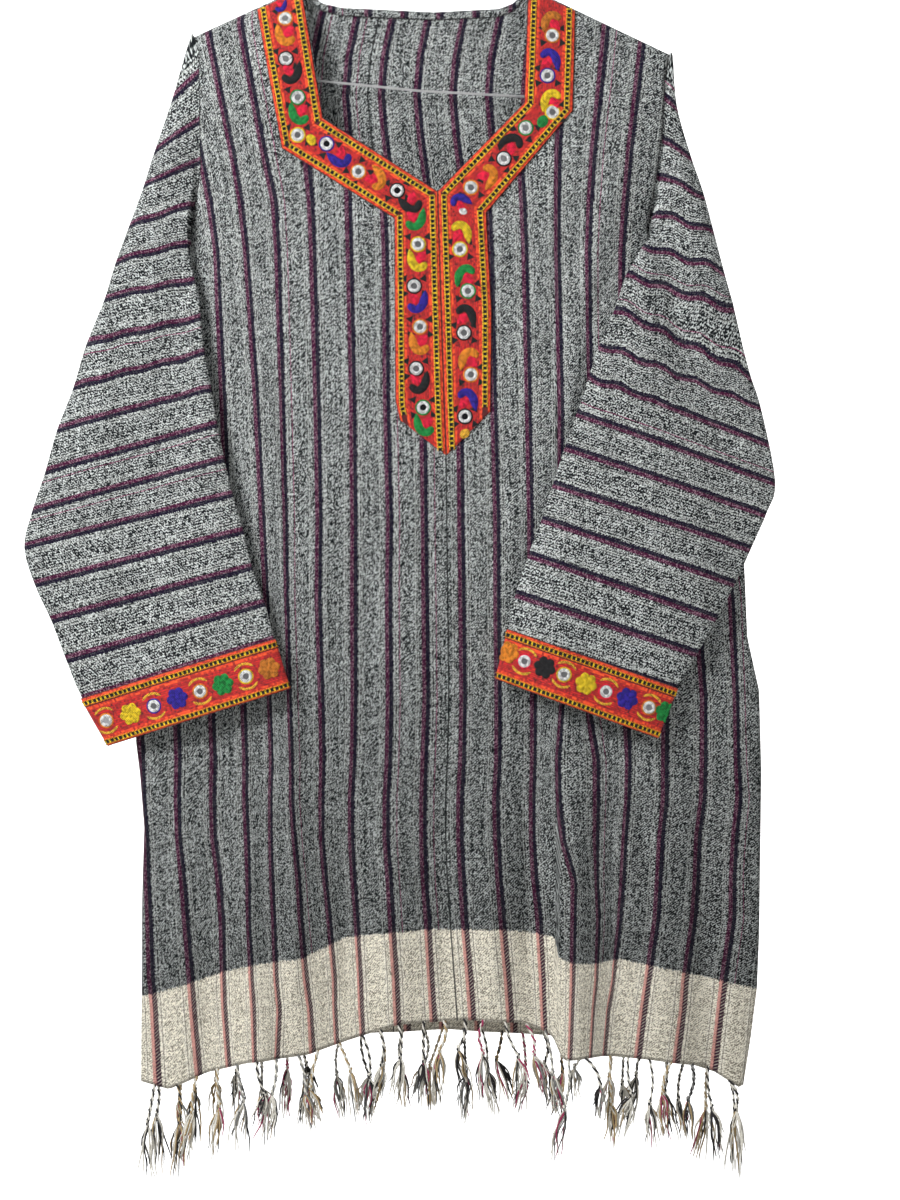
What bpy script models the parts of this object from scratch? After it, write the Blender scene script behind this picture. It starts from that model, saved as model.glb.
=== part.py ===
"""A striped cotton kurta tunic with mirror-work braid and a fringed hem, hung flat on a wire hanger.

Metres, +Z up, the front faces -Y. The origin is the inside top of the hanger's hook, where a rod holds it.
In the tables, x is in millimetres to the right of the hook and drop in millimetres below the neck points.
Left and right are the viewer's.
"""

import math
import random

import bmesh
import bpy
from mathutils import Vector

MM = 0.001
WELD_DISTANCE = 1e-7

# Driving sizes, in millimetres
NECK_POINT_BELOW_HOOK = 133.4
CLOTH = 1.2
SLEEVE_CLOTH = 1.3
SEAM_GAP = 0.3
SEAM_HALF = SEAM_GAP / 2 + CLOTH
SEAM_ALLOWANCE = 4.0
UNDERARM_EASE = 1.8
BRAID_THICKNESS = 1.2
SLEEVE_CLEARANCE = 3.6
ARMHOLE_OPEN = 7.0
SHOULDER_WEDGE = 0.35
WIRE_RADIUS = 1.2
ARM_BELOW_SEAM = 6.0
FRONT_HEM_GAP = 1.4
BACK_HEM_GAP = 0.5
HEM_REACH = 8.0
STRIP_HEIGHT = 4.0
STRIP_THICKNESS = 1.8
TASSELS_PER_HEM = 38

# Cells of each panel and rows of the armhole
FRONT_CELLS = 30
SKIRT_ROWS = 14
ARMHOLE_ROWS = 9
BACK_CELLS = 22

# Outlines: (x, drop)
SHOULDER_LINE = [(-209, 47), (-107, 0), (101, 0), (233, 63)]
BACK_NECKLINE = [
    (-209, 47), (-107, 0), (-90, 14), (-72, 18), (15, 22), (75, 19), (89, 14), (101, 0), (233, 63),
]
FRONT_NECK = [(-109, -12), (-88, 125), (18, 193), (98, 111), (102, -12)]
FRONT_HEM = [
    (-258, 1018), (-231, 1024), (-196, 1008), (-155, 996), (-101, 989), (-63, 976), (-19, 961), (48, 957),
    (95, 960), (123, 970), (133, 993), (170, 990), (221, 995), (267, 1003), (299, 1024), (305, 1019),
]
BACK_HEM = [(-258, 1018), (-155, 987), (-63, 977), (29, 974), (123, 978), (213, 992), (305, 1019)]

# Side outlines: (drop, x)
LEFT_SIDE = [
    (47, -209), (60, -204), (117, -203), (170, -202), (239, -213), (386, -228), (534, -247), (662, -261),
    (700, -263), (732, -259), (782, -255), (846, -257), (1018, -258),
]
RIGHT_SIDE = [
    (63, 233), (84, 229), (142, 226), (184, 220), (225, 213), (386, 259), (535, 303), (605, 306), (655, 317),
    (729, 319), (881, 317), (931, 315), (978, 309), (1023, 302),
]
LEFT_ARMHOLE = (47, 239)
RIGHT_ARMHOLE = (63, 225)

# How far the cloth stands off the middle plane at its fullest, and how square its section is:
# (drop, front, back, squareness)
BODY_DEPTH = [
    (0, 13, 11, 8), (200, 18, 13, 7), (450, 21, 15, 5), (750, 24, 18, 4), (1030, 27, 21, 4),
]

# Soft folds of the front and of the back: x at their top and at the hem, the drops between which they grow,
# the reach of their left and right slopes, and how far they stand out
FRONT_FOLDS = [
    # x_top, x_hem, start, full, left, right, out
    (-148, -146, 590, 860, 30, 24, 11),
    (-186, -196, 640, 900, 20, 26, -5),
    (139, 141, 640, 830, 13, 46, 14),
    (112, 112, 560, 840, 34, 12, -7),
    (-60, -66, 480, 900, 44, 44, -4),
    (-14, -22, 560, 930, 34, 34, 5),
    (60, 66, 560, 930, 40, 36, 4),
    (214, 226, 560, 900, 34, 36, 6),
    (262, 270, 600, 930, 26, 26, -5),
    (-136, -120, 250, 460, 36, 40, 4),
    (130, 128, 260, 480, 40, 36, 4),
]
BACK_FOLDS = [
    (-170, -178, 420, 860, 40, 44, 6),
    (-70, -84, 360, 820, 50, 46, -5),
    (30, 22, 460, 900, 44, 44, 7),
    (120, 134, 380, 840, 46, 44, -5),
    (214, 226, 460, 900, 44, 40, 6),
]

# Sleeve sections from armhole to cuff. Outer and inner fold, half depth, how far the section has come
# forward on to the body's front (0 to 1), and how much of the armhole's curve it keeps
LEFT_SLEEVE = [
    # outer_x, outer_drop, inner_x, inner_drop, half_depth, forward, curve
    (-230, 109, -213, 245, 10, 0.12, 0.55),
    (-245, 155, -212, 250, 11, 0.28, 0.25),
    (-255, 190, -211, 257, 11, 0.46, 0.1),
    (-268, 226, -209, 265, 11, 0.66, 0),
    (-280, 259, -206, 276, 11, 0.86, 0),
    (-290, 293, -202, 294, 11, 1, 0),
    (-307, 335, -201, 312, 12, 1, 0),
    (-319, 375, -197, 344, 12, 1, 0),
    (-334, 414, -191, 377, 12, 1, 0),
    (-345, 453, -185, 410, 12, 1, 0),
    (-357, 489, -178, 442, 12, 1, 0),
    (-364, 522, -170, 474, 12, 1, 0),
    (-354, 557, -160, 508, 12, 1, 0),
    (-339, 590, -152, 541, 11, 1, 0),
    (-325, 627, -140, 574, 11, 1, 0),
    (-311, 661, -132, 606, 10, 1, 0),
    (-286, 705, -118, 652, 10, 1, 0),
]
RIGHT_SLEEVE = [
    (240, 111, 215, 232, 10, 0.2, 0.55),
    (252, 157, 212, 239, 11, 0.42, 0.25),
    (264, 193, 205, 247, 11, 0.58, 0.1),
    (273, 228, 199, 258, 11, 0.8, 0),
    (282, 265, 191, 272, 11, 0.94, 0),
    (292, 304, 181, 302, 12, 1, 0),
    (306, 359, 167, 335, 12, 1, 0),
    (317, 394, 157, 365, 12, 1, 0),
    (330, 461, 146, 398, 12, 1, 0),
    (322, 490, 135, 429, 12, 1, 0),
    (308, 522, 124, 463, 12, 1, 0),
    (293, 554, 114, 495, 12, 1, 0),
    (276, 586, 102, 527, 11, 1, 0),
    (258, 618, 90, 563, 11, 1, 0),
    (238, 651, 83, 597, 10, 1, 0),
    (219, 697, 72, 643, 10, 1, 0),
]

# Braid on the neck: the corners of each strip, anticlockwise as the viewer sees it
NECK_BRAIDS = {
    "braid_shoulder_left": [(-126, 153), (-88, 125), (-109, -12), (-151, 4)],
    "braid_diagonal_left": [(-126, 153), (-22, 218), (18, 193), (-88, 125)],
    "braid_placket_left": [(-22, 218), (-21, 386), (-17, 404), (26, 437), (18, 193)],
    "braid_placket_right": [(18, 193), (26, 437), (67, 396), (68, 304), (63, 213)],
    "braid_diagonal_right": [(18, 193), (63, 213), (143, 118), (98, 111)],
    "braid_shoulder_right": [(98, 111), (143, 118), (146, 4), (102, -12)],
}

# Sections of a tassel: how far down the cord or the tail each lies, its width, and how much it sways
TASSEL_SECTIONS = [
    # cord_share, tail_share, width, sway
    (0.35, 0, 2.2, 0.15),
    (0.85, 0, 2.2, 0.4),
    (1, 0.06, 5.0, 0.5),
    (1, 0.2, 3.4, 0.6),
    (1, 0.55, 6.2, 0.8),
    (1, 1, 1.6, 1),
]
CORD_LENGTHS = (30, 42)
TAIL_LENGTHS = (32, 45)
CORD_BOW = 1.5
LARGEST_ROOT = 7.5

# The wire hanger
HOOK_RADIUS = 21.0
HOOK_START = math.radians(200)
HOOK_END = math.radians(-50)
HOOK_STEPS = 13
STEM_TOP = -54.0
ARM_APEX_DROP = -49.0
LEFT_WIRE_END = -190.0
RIGHT_WIRE_END = 205.0
END_BEND_RADIUS = 8.0
BAR = [(-180, 77), (-95, 87), (0, 96.5), (98, 102), (190, 104.5)]
TWIST_TURNS = 3
TWIST_STEPS = 8
TWIST_PITCH = 3.0

# Colour, roughness and metallic value of each finish
FINISHES = {
    "cotton_cloth": ((0.19, 0.2, 0.2), 0.9, 0),
    "braid": ((0.75, 0.03, 0.02), 0.8, 0),
    "fringe_cotton": ((0.42, 0.4, 0.36), 0.95, 0),
    "hanger_wire": ((0.35, 0.34, 0.32), 0.35, 1),
}


def along(table, value, column=1):
    """A table's column at a value of its first column, on straight lines between the rows."""
    if value <= table[0][0]:
        return table[0][column]
    for low, high in zip(table, table[1:]):
        if value <= high[0]:
            share = (value - low[0]) / (high[0] - low[0])
            return low[column] + share * (high[column] - low[column])
    return table[-1][column]


def ease(value):
    """A smooth step from 0 to 1."""
    value = min(max(value, 0.0), 1.0)
    return value * value * (3 - 2 * value)


def place(x, depth, drop):
    """A point of the part, in metres, from millimetres."""
    return Vector((x, depth, -NECK_POINT_BELOW_HOOK - drop)) * MM


def across(x, drop):
    """How far across the body a point lies, from 0 at the left side to 1 at the right."""
    left = along(LEFT_SIDE, drop)
    return (x - left) / (along(RIGHT_SIDE, drop) - left)


def armhole_opening(drop, armhole):
    """How far the armhole's edge stands off the middle plane."""
    share = (drop - armhole[0]) / (armhole[1] - armhole[0])
    return ARMHOLE_OPEN * math.sin(math.pi * min(max(share, 0.0), 1.0))


def fold_depth(x, drop, folds):
    """The sum of the soft folds at a point."""
    total = 0.0
    for x_top, x_hem, start, full, left, right, out in folds:
        centre = x_top + (x_hem - x_top) * ease((drop - start) / (1000 - start))
        reach = left if x < centre else right
        off = abs(x - centre) / reach
        if off < 1:
            total += out * ease((drop - start) / (full - start)) * (1 - ease(off))
    return total


def stand_off(x, drop, column, folds):
    """How far a panel's outer face stands off the middle plane between front and back."""
    share = min(max(across(x, drop), 0.0), 1.0)
    lens = 1 - abs(2 * share - 1) ** along(BODY_DEPTH, drop, 3)
    opening = (1 - share) * armhole_opening(drop, LEFT_ARMHOLE) + share * armhole_opening(drop, RIGHT_ARMHOLE)
    body = opening + (along(BODY_DEPTH, drop, column) - opening) * lens
    wedge = SHOULDER_WEDGE * max(drop - along(SHOULDER_LINE, x), 0.0)
    if body < 0.01 or wedge < 0.01:
        return SEAM_HALF
    rise = body * wedge / (body**4 + wedge**4) ** 0.25
    return SEAM_HALF + rise + fold_depth(x, drop, folds) * ease(2.2 * lens)


def front_stand_off(x, drop):
    return stand_off(x, drop, 1, FRONT_FOLDS)


def back_stand_off(x, drop):
    return stand_off(x, drop, 2, BACK_FOLDS)


def new_material(name):
    colour, roughness, metallic = FINISHES[name]
    material = bpy.data.materials.new(name)
    material.use_nodes = True
    shader = material.node_tree.nodes["Principled BSDF"]
    shader.inputs["Base Color"].default_value = (*colour, 1)
    shader.inputs["Roughness"].default_value = roughness
    shader.inputs["Metallic"].default_value = metallic
    return material


def new_object(name, bm, material):
    """An object of the garment's collection made from a bmesh, which is freed."""
    mesh = bpy.data.meshes.new(name)
    bm.normal_update()
    bm.to_mesh(mesh)
    bm.free()
    mesh.materials.append(material)
    mesh.shade_smooth()
    made = bpy.data.objects.new(name, mesh)
    garment.objects.link(made)
    return made


def thicken(made, thickness, outwards=False, even=True):
    wall = made.modifiers.new("wall", "SOLIDIFY")
    wall.thickness = thickness * MM
    wall.offset = 1 if outwards else -1
    wall.use_even_offset = even


def spaced_columns(count, creases):
    """Even shares from 0 to 1, with the nearest one moved on to each crease."""
    shares = [step / count for step in range(count + 1)]
    for crease in creases:
        nearest = min(range(1, count), key=lambda step: abs(shares[step] - crease))
        shares[nearest] = crease
    return shares


def panel_point(share, row, top_line, hem_line):
    """x and drop of a panel's grid point: rows run from the hem (0) through the underarm to the top."""
    x = 0.0
    drop = 500.0
    for _ in range(30):
        hem = along(hem_line, x)
        top = along(top_line, x)
        ends = [
            (along(hem_line, side[-1][1]), along(SHOULDER_LINE, side[0][1]), armhole[1])
            for side, armhole in ((LEFT_SIDE, LEFT_ARMHOLE), (RIGHT_SIDE, RIGHT_ARMHOLE))
        ]
        left, right = [(low - under) / (low - high) for low, high, under in ends]
        under = left + (right - left) * share
        if row <= SKIRT_ROWS:
            height = under * row / SKIRT_ROWS
        else:
            height = under + (1 - under) * (row - SKIRT_ROWS) / ARMHOLE_ROWS
        drop = hem + (top - hem) * height
        side_left = along(LEFT_SIDE, drop)
        x = side_left + share * (along(RIGHT_SIDE, drop) - side_left)
    return x, drop


def panel_surface(columns, top_line, hem_line, depth):
    """A panel's outer face as a grid, from the side outlines, the top line and the hem."""
    bm = bmesh.new()
    rows = SKIRT_ROWS + ARMHOLE_ROWS
    bmesh.ops.create_grid(bm, x_segments=len(columns) - 1, y_segments=rows, size=0.5)
    for vert in bm.verts:
        column = round((vert.co.x + 0.5) * (len(columns) - 1))
        row = round((vert.co.y + 0.5) * rows)
        x, drop = panel_point(columns[column], row, top_line, hem_line)
        vert.co = place(x, depth(x, drop), drop)
    return bm


def front_columns():
    return spaced_columns(FRONT_CELLS, [across(-107, 60), across(101, 60), 0.68, 0.7])


def back_columns():
    return spaced_columns(BACK_CELLS, [across(x, 60) for x in (-107, -90, 89, 101)])


def front_surface():
    return panel_surface(front_columns(), SHOULDER_LINE, FRONT_HEM, lambda x, drop: -front_stand_off(x, drop))


def back_surface():
    bm = panel_surface(back_columns(), BACK_NECKLINE, BACK_HEM, back_stand_off)
    bmesh.ops.reverse_faces(bm, faces=bm.faces)
    return bm


def faces_within(bm, outline, inset=0.0):
    """Cuts a front surface along a convex outline, and returns the faces inside it."""
    inside = list(bm.faces)
    for (x_a, drop_a), (x_b, drop_b) in zip(outline, outline[1:] + outline[:1]):
        edge = place(x_b, 0, drop_b) - place(x_a, 0, drop_a)
        inward = Vector((0, -1, 0)).cross(edge).normalized()
        on_plane = place(x_a, 0, drop_a) + inward * inset * MM
        touched = set(inside)
        for face in inside:
            touched.update(face.edges)
            touched.update(face.verts)
        cut = bmesh.ops.bisect_plane(
            bm, geom=list(touched), plane_co=on_plane, plane_no=inward, dist=WELD_DISTANCE
        )
        faces = [item for item in cut["geom"] if isinstance(item, bmesh.types.BMFace)]
        inside = [face for face in faces if (face.calc_center_median() - on_plane).dot(inward) > 0]
    return inside


def make_front():
    bm = front_surface()
    bmesh.ops.delete(bm, geom=faces_within(bm, FRONT_NECK), context="FACES")
    thicken(new_object("front_panel", bm, cotton), CLOTH)


def make_back():
    thicken(new_object("back_panel", back_surface(), cotton), CLOTH)


def move_out(bm, distance):
    """Moves every point out along its normal, so that the faces move by the distance."""
    bm.normal_update()
    moves = [(vert, vert.normal * distance * MM * vert.calc_shell_factor()) for vert in bm.verts]
    for vert, move in moves:
        vert.co += move


def make_neck_braids():
    """Each braid is the front's own surface cut to the braid's outline and moved out."""
    for name, outline in NECK_BRAIDS.items():
        bm = front_surface()
        kept = set(faces_within(bm, outline, SEAM_GAP / 2))
        bmesh.ops.delete(bm, geom=[face for face in bm.faces if face not in kept], context="FACES")
        move_out(bm, SEAM_GAP)
        thicken(new_object(name, bm, braid), BRAID_THICKNESS, outwards=True)


def armhole_edge(columns, top_line, hem_line, depth):
    """The panel's own edge points from the shoulder end down to the underarm, and the way out from each."""
    points = []
    for row in range(SKIRT_ROWS + ARMHOLE_ROWS, SKIRT_ROWS - 1, -1):
        edge, inner = [panel_point(share, row, top_line, hem_line) for share in columns]
        edge = Vector((edge[0], depth(*edge), edge[1]))
        inner = Vector((inner[0], depth(*inner), inner[1]))
        points.append((edge, (edge - inner).normalized()))
    return points


def sleeve_rings(table, at_right):
    """Rings of points: the front half from outer to inner fold, then the back half the other way."""
    front_ends = front_columns()[-1:-3:-1] if at_right else front_columns()[:2]
    back_ends = back_columns()[-1:-3:-1] if at_right else back_columns()[:2]
    front = armhole_edge(front_ends, SHOULDER_LINE, FRONT_HEM, lambda x, drop: -front_stand_off(x, drop))
    back = armhole_edge(back_ends, BACK_NECKLINE, BACK_HEM, back_stand_off)
    top_x = front[0][0].x
    low_x = front[-1][0].x
    steps = len(front) - 1
    rings = []
    for reach in (SEAM_GAP, SEAM_ALLOWANCE):
        half_ring = [reach + UNDERARM_EASE * ease(step / steps * 5 - 4) for step in range(steps + 1)]
        both = zip(front + back[::-1], half_ring + half_ring[::-1])
        rings.append([place(*(edge + way * gap)) for (edge, way), gap in both])
    for outer_x, outer_drop, inner_x, inner_drop, half_depth, forward, curve in table:
        halves = ([], [])
        for step in range(steps + 1):
            even = step / steps
            rounded = (1 - math.cos(math.pi * even)) / 2
            share = even + (rounded - even) * (1 - curve) * 0.7
            bow = curve * (front[step][0].x - (top_x + (low_x - top_x) * even))
            x = outer_x + (inner_x - outer_x) * share + bow
            drop = outer_drop + (inner_drop - outer_drop) * share
            lead = forward + (1 - forward) * 0.75 * ease(2.2 * share - 1.2)
            middle = -lead * (front_stand_off(x, drop) + SLEEVE_CLEARANCE + half_depth)
            swell = SEAM_HALF + (half_depth - SEAM_HALF) * (1 - abs(2 * share - 1) ** 3)
            for half, side in zip(halves, (-1, 1)):
                half.append(place(x, middle + side * swell, drop))
        rings.append(halves[0] + halves[1][::-1])
    return rings


def tube_of(rings):
    """A tube through the rings, with its faces pointing out."""
    bm = bmesh.new()
    loops = [[bm.verts.new(point) for point in ring] for ring in rings]
    for upper, lower in zip(loops, loops[1:]):
        for step in range(len(upper)):
            after = (step + 1) % len(upper)
            bm.faces.new((upper[step], upper[after], lower[after], lower[step]))
    bmesh.ops.recalc_face_normals(bm, faces=bm.faces)
    return bm


def make_sleeves():
    for name, table, at_right in (("left", LEFT_SLEEVE, False), ("right", RIGHT_SLEEVE, True)):
        rings = sleeve_rings(table, at_right)
        bm = tube_of(rings)
        face_out(bm)
        thicken(new_object("sleeve_" + name, bm, cotton), SLEEVE_CLOTH, even=False)
        bm = tube_of(rings[-2:])
        face_out(bm)
        move_out(bm, SEAM_GAP)
        thicken(new_object("cuff_braid_" + name, bm, braid), BRAID_THICKNESS, outwards=True)


def face_out(bm):
    """Turns an open tube's faces so that they point away from its middle line."""
    bm.normal_update()
    middle = sum((vert.co for vert in bm.verts), Vector()) / len(bm.verts)
    facing = sum((face.calc_center_median() - middle).y * face.normal.y for face in bm.faces)
    if facing < 0:
        bmesh.ops.reverse_faces(bm, faces=bm.faces)


def hem_edge(columns, top_line, hem_line, depth):
    """The panel's own hem points, as rows of x, drop and how far the outer face stands off."""
    points = [panel_point(share, 0, top_line, hem_line) for share in columns]
    return [(x, drop, depth(x, drop)) for x, drop in points]


def make_fringe(name, hem, gap, side, seed):
    """A narrow strip under the hem, with a knotted tassel drawn down from every second bottom face."""
    rng = random.Random(seed)
    left = along(LEFT_SIDE, 1018) + 5
    right = along(RIGHT_SIDE, 1018) - 5
    pitch = (right - left) / TASSELS_PER_HEM
    edges = [left]
    for tassel in range(TASSELS_PER_HEM):
        middle = left + (tassel + 0.5) * pitch + rng.uniform(-1.6, 1.6)
        edges += [middle - 1.3, middle + 1.3]
    edges.append(right)
    bm = bmesh.new()
    bmesh.ops.create_grid(bm, x_segments=len(edges) - 1, y_segments=1, size=0.5)
    for vert in bm.verts:
        x = edges[round((vert.co.x + 0.5) * (len(edges) - 1))]
        slope = (along(hem, x + HEM_REACH) - along(hem, x - HEM_REACH)) / (2 * HEM_REACH)
        drop = along(hem, x) + gap * math.hypot(1, slope) + (STRIP_HEIGHT if vert.co.y < 0 else 0)
        outer_face = along(hem, x, 2) + (STRIP_THICKNESS - CLOTH) / 2
        vert.co = place(x, side * outer_face, drop)
    if side > 0:
        bmesh.ops.reverse_faces(bm, faces=bm.faces)
    bm.normal_update()
    bmesh.ops.solidify(bm, geom=list(bm.faces), thickness=STRIP_THICKNESS * MM)
    bmesh.ops.recalc_face_normals(bm, faces=bm.faces)
    bm.normal_update()
    under = [face for face in bm.faces if face.normal.z < -0.6]
    roots = [face for face in under if face.calc_area() < LARGEST_ROOT * MM * MM]
    for root in sorted(roots, key=lambda face: face.calc_center_median().x):
        draw_tassel(bm, root, side, rng)
    new_object(name, bm, fringe_cotton)


def draw_tassel(bm, face, side, rng):
    """Draws a face of the strip down through a tassel's sections: cord, knot, loose tail and tip."""
    cord = rng.uniform(*CORD_LENGTHS)
    tail = rng.uniform(*TAIL_LENGTHS)
    lean_x = rng.uniform(-4.5, 4.5)
    lean_y = side * rng.uniform(2, 7)
    root = face.calc_center_median()
    for cord_share, tail_share, width, sway in TASSEL_SECTIONS:
        face = bmesh.ops.extrude_discrete_faces(bm, faces=[face])["faces"][0]
        bow = CORD_BOW * math.sin(sway * math.pi)
        down = cord * cord_share + tail * tail_share
        centre = root + Vector((lean_x * sway + bow, lean_y * sway, -down)) * MM
        middle = face.calc_center_median()
        for vert in face.verts:
            off = vert.co - middle
            corner = Vector((math.copysign(1, off.x), math.copysign(1, off.y), 0))
            vert.co = centre + corner * width / 2 * MM


def hook_points():
    """The hook from its tip over the top and back in to the stem."""
    centre_z = WIRE_RADIUS - HOOK_RADIUS
    points = []
    for step in range(HOOK_STEPS + 1):
        turn = HOOK_START + (HOOK_END - HOOK_START) * step / HOOK_STEPS
        points.append((HOOK_RADIUS * math.cos(turn), 0, centre_z + HOOK_RADIUS * math.sin(turn)))
    start_x, _, start_z = points[-1]
    for share in (0.3, 0.6, 0.85, 1):
        x = start_x * (1 - math.sin(share * math.pi / 2)) * (1 - 0.2 * share)
        points.append((x, 0, start_z + (STEM_TOP - start_z) * share))
    return points


def arm_drop(x):
    """Drop of the wire's middle line under the shoulder seams, carried on straight to the apex."""
    if x < SHOULDER_LINE[1][0]:
        return along(SHOULDER_LINE, x) + ARM_BELOW_SEAM
    if x > SHOULDER_LINE[2][0]:
        return along(SHOULDER_LINE, x) + ARM_BELOW_SEAM
    end_x = SHOULDER_LINE[1][0] if x < 0 else SHOULDER_LINE[2][0]
    return ARM_APEX_DROP + (ARM_BELOW_SEAM - ARM_APEX_DROP) * x / end_x


def end_bend(end_x, outwards):
    """The rounded end from arm to bottom bar: two quarter bends with a short straight between."""
    radius = END_BEND_RADIUS
    arm_end = arm_drop(end_x - outwards * radius)
    bar_end = along(BAR, end_x - outwards * radius)
    points = []
    for step in range(1, 4):
        turn = math.radians(30 * step)
        x = end_x - outwards * radius * (1 - math.sin(turn))
        points.append((x, arm_end + radius * (1 - math.cos(turn))))
    for step in range(3):
        turn = math.radians(30 * step)
        x = end_x - outwards * radius * (1 - math.cos(turn))
        points.append((x, bar_end - radius * (1 - math.sin(turn))))
    return [(x, 0, -NECK_POINT_BELOW_HOOK - drop) for x, drop in points]


def arm_points(end_x, outwards):
    """An arm from near the stem out to its end bend."""
    near = 10.0 * outwards
    far = end_x - outwards * END_BEND_RADIUS
    stops = [near, SHOULDER_LINE[1][0] if outwards < 0 else SHOULDER_LINE[2][0], far]
    return [(x, 0, -NECK_POINT_BELOW_HOOK - arm_drop(x)) for x in stops]


def make_hanger():
    """One wire: hook, stem, left arm, bottom bar, right arm and three turns round the stem."""
    stem_foot = -NECK_POINT_BELOW_HOOK - ARM_APEX_DROP
    points = hook_points()
    points += [(0, 0, stem_foot + 8), (0, 0, stem_foot + 3), (-1.6, 0, stem_foot - 1)]
    points += arm_points(LEFT_WIRE_END, -1)
    points += end_bend(LEFT_WIRE_END, -1)
    points += [(x, 0, -NECK_POINT_BELOW_HOOK - drop) for x, drop in BAR]
    points += end_bend(RIGHT_WIRE_END, 1)[::-1]
    points += arm_points(RIGHT_WIRE_END, 1)[::-1]
    radius = 2 * WIRE_RADIUS + SEAM_GAP
    for step in range(TWIST_TURNS * TWIST_STEPS + 1):
        turn = -2 * math.pi * step / TWIST_STEPS
        rise = TWIST_PITCH * step / TWIST_STEPS
        points.append((radius * math.cos(turn), radius * math.sin(turn), stem_foot + 3 + rise))
    curve = bpy.data.curves.new("wire_hanger", "CURVE")
    curve.dimensions = "3D"
    curve.bevel_depth = WIRE_RADIUS * MM
    curve.bevel_resolution = 1
    curve.use_fill_caps = True
    spline = curve.splines.new("POLY")
    spline.points.add(len(points) - 1)
    for target, (x, y, z) in zip(spline.points, points):
        target.co = (x * MM, y * MM, z * MM, 1)
    curve.materials.append(wire)
    garment.objects.link(bpy.data.objects.new("wire_hanger", curve))


for existing in list(bpy.data.objects):
    bpy.data.objects.remove(existing)
garment = bpy.data.collections.new("fringed_kurta_tunic")
bpy.context.scene.collection.children.link(garment)
cotton = new_material("cotton_cloth")
braid = new_material("braid")
fringe_cotton = new_material("fringe_cotton")
wire = new_material("hanger_wire")

make_front()
make_back()
make_neck_braids()
make_sleeves()
front_hem = hem_edge(front_columns(), SHOULDER_LINE, FRONT_HEM, front_stand_off)
back_hem = hem_edge(back_columns(), BACK_NECKLINE, BACK_HEM, back_stand_off)
make_fringe("fringe_front", front_hem, FRONT_HEM_GAP, -1, 11)
make_fringe("fringe_back", back_hem, BACK_HEM_GAP, 1, 12)
make_hanger()
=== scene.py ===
# %% [markdown]
# # A striped kurta tunic with mirror-work braid, on a wire hanger
#
# The real tunic is handloom cotton: a black and white twill with plum and navy stripes, a natural band at
# the hem, red embroidered braid round the neck and cuffs, and warp ends knotted into a fringe. It hangs
# almost flat, so its look comes from three things: a true outline, soft shallow folds, and cloth that shows
# its weave. Every piece here is shaped on the same measured outline, in metres, with the front facing -Y.

import math
import random
from types import SimpleNamespace

import bmesh
import bpy
from mathutils import Matrix, Vector
from mathutils.bvhtree import BVHTree


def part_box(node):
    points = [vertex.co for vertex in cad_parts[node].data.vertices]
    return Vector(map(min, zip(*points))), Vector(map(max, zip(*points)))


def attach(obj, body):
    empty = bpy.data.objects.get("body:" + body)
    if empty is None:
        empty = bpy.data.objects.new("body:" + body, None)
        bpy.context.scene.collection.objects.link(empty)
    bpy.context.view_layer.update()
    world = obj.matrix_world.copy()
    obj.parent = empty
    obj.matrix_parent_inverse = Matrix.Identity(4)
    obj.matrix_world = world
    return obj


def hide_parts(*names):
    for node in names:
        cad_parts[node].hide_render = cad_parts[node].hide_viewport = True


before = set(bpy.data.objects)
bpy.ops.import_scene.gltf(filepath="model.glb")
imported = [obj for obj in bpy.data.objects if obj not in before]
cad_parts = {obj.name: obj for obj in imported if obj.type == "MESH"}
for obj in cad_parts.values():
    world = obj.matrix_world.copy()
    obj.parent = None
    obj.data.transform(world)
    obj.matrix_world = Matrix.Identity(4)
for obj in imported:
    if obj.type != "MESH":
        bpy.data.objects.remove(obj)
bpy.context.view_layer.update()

# %% [markdown]
# ## Camera, floor and light
#
# The photograph looks straight at the chest from a little over two and a half metres, so the camera has a
# long lens and no tilt. The light is a soft window at the upper left, in front of the cloth, and a weak fill
# from the right lets the folds show without hard shadows. The floor lies well below the fringe and curves up
# behind.

# %% Camera as in the photograph
VIEW_CENTRE = Vector((0.0294, -0.03, -0.7038))
VIEW_HEIGHT = 1.104
CAMERA_DISTANCE = 2.6
SENSOR = 36.0

camera_data = bpy.data.cameras.new("camera")
camera_data.sensor_width = SENSOR
camera_data.lens = SENSOR * CAMERA_DISTANCE / VIEW_HEIGHT
camera = bpy.data.objects.new("camera", camera_data)
camera.location = VIEW_CENTRE + Vector((0, -CAMERA_DISTANCE, 0))
camera.rotation_euler = (math.pi / 2, 0, 0)
bpy.context.scene.collection.objects.link(camera)
bpy.context.scene.camera = camera
bpy.context.scene.view_settings.view_transform = "Standard"
print("lens", round(camera_data.lens, 1), "mm")


# %% Floor and backdrop in one sheet
def plain_material(name, colour, roughness):
    material = bpy.data.materials.new(name)
    material.use_nodes = True
    shader = material.node_tree.nodes["Principled BSDF"]
    shader.inputs["Base Color"].default_value = (*colour, 1)
    shader.inputs["Roughness"].default_value = roughness
    return material


paper = plain_material("pale_paper", (0.9, 0.9, 0.9), 0.9)
paper_shader = paper.node_tree.nodes["Principled BSDF"]
paper_shader.inputs["Emission Color"].default_value = (1, 1, 1, 1)
paper_shader.inputs["Emission Strength"].default_value = 0.85

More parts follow.
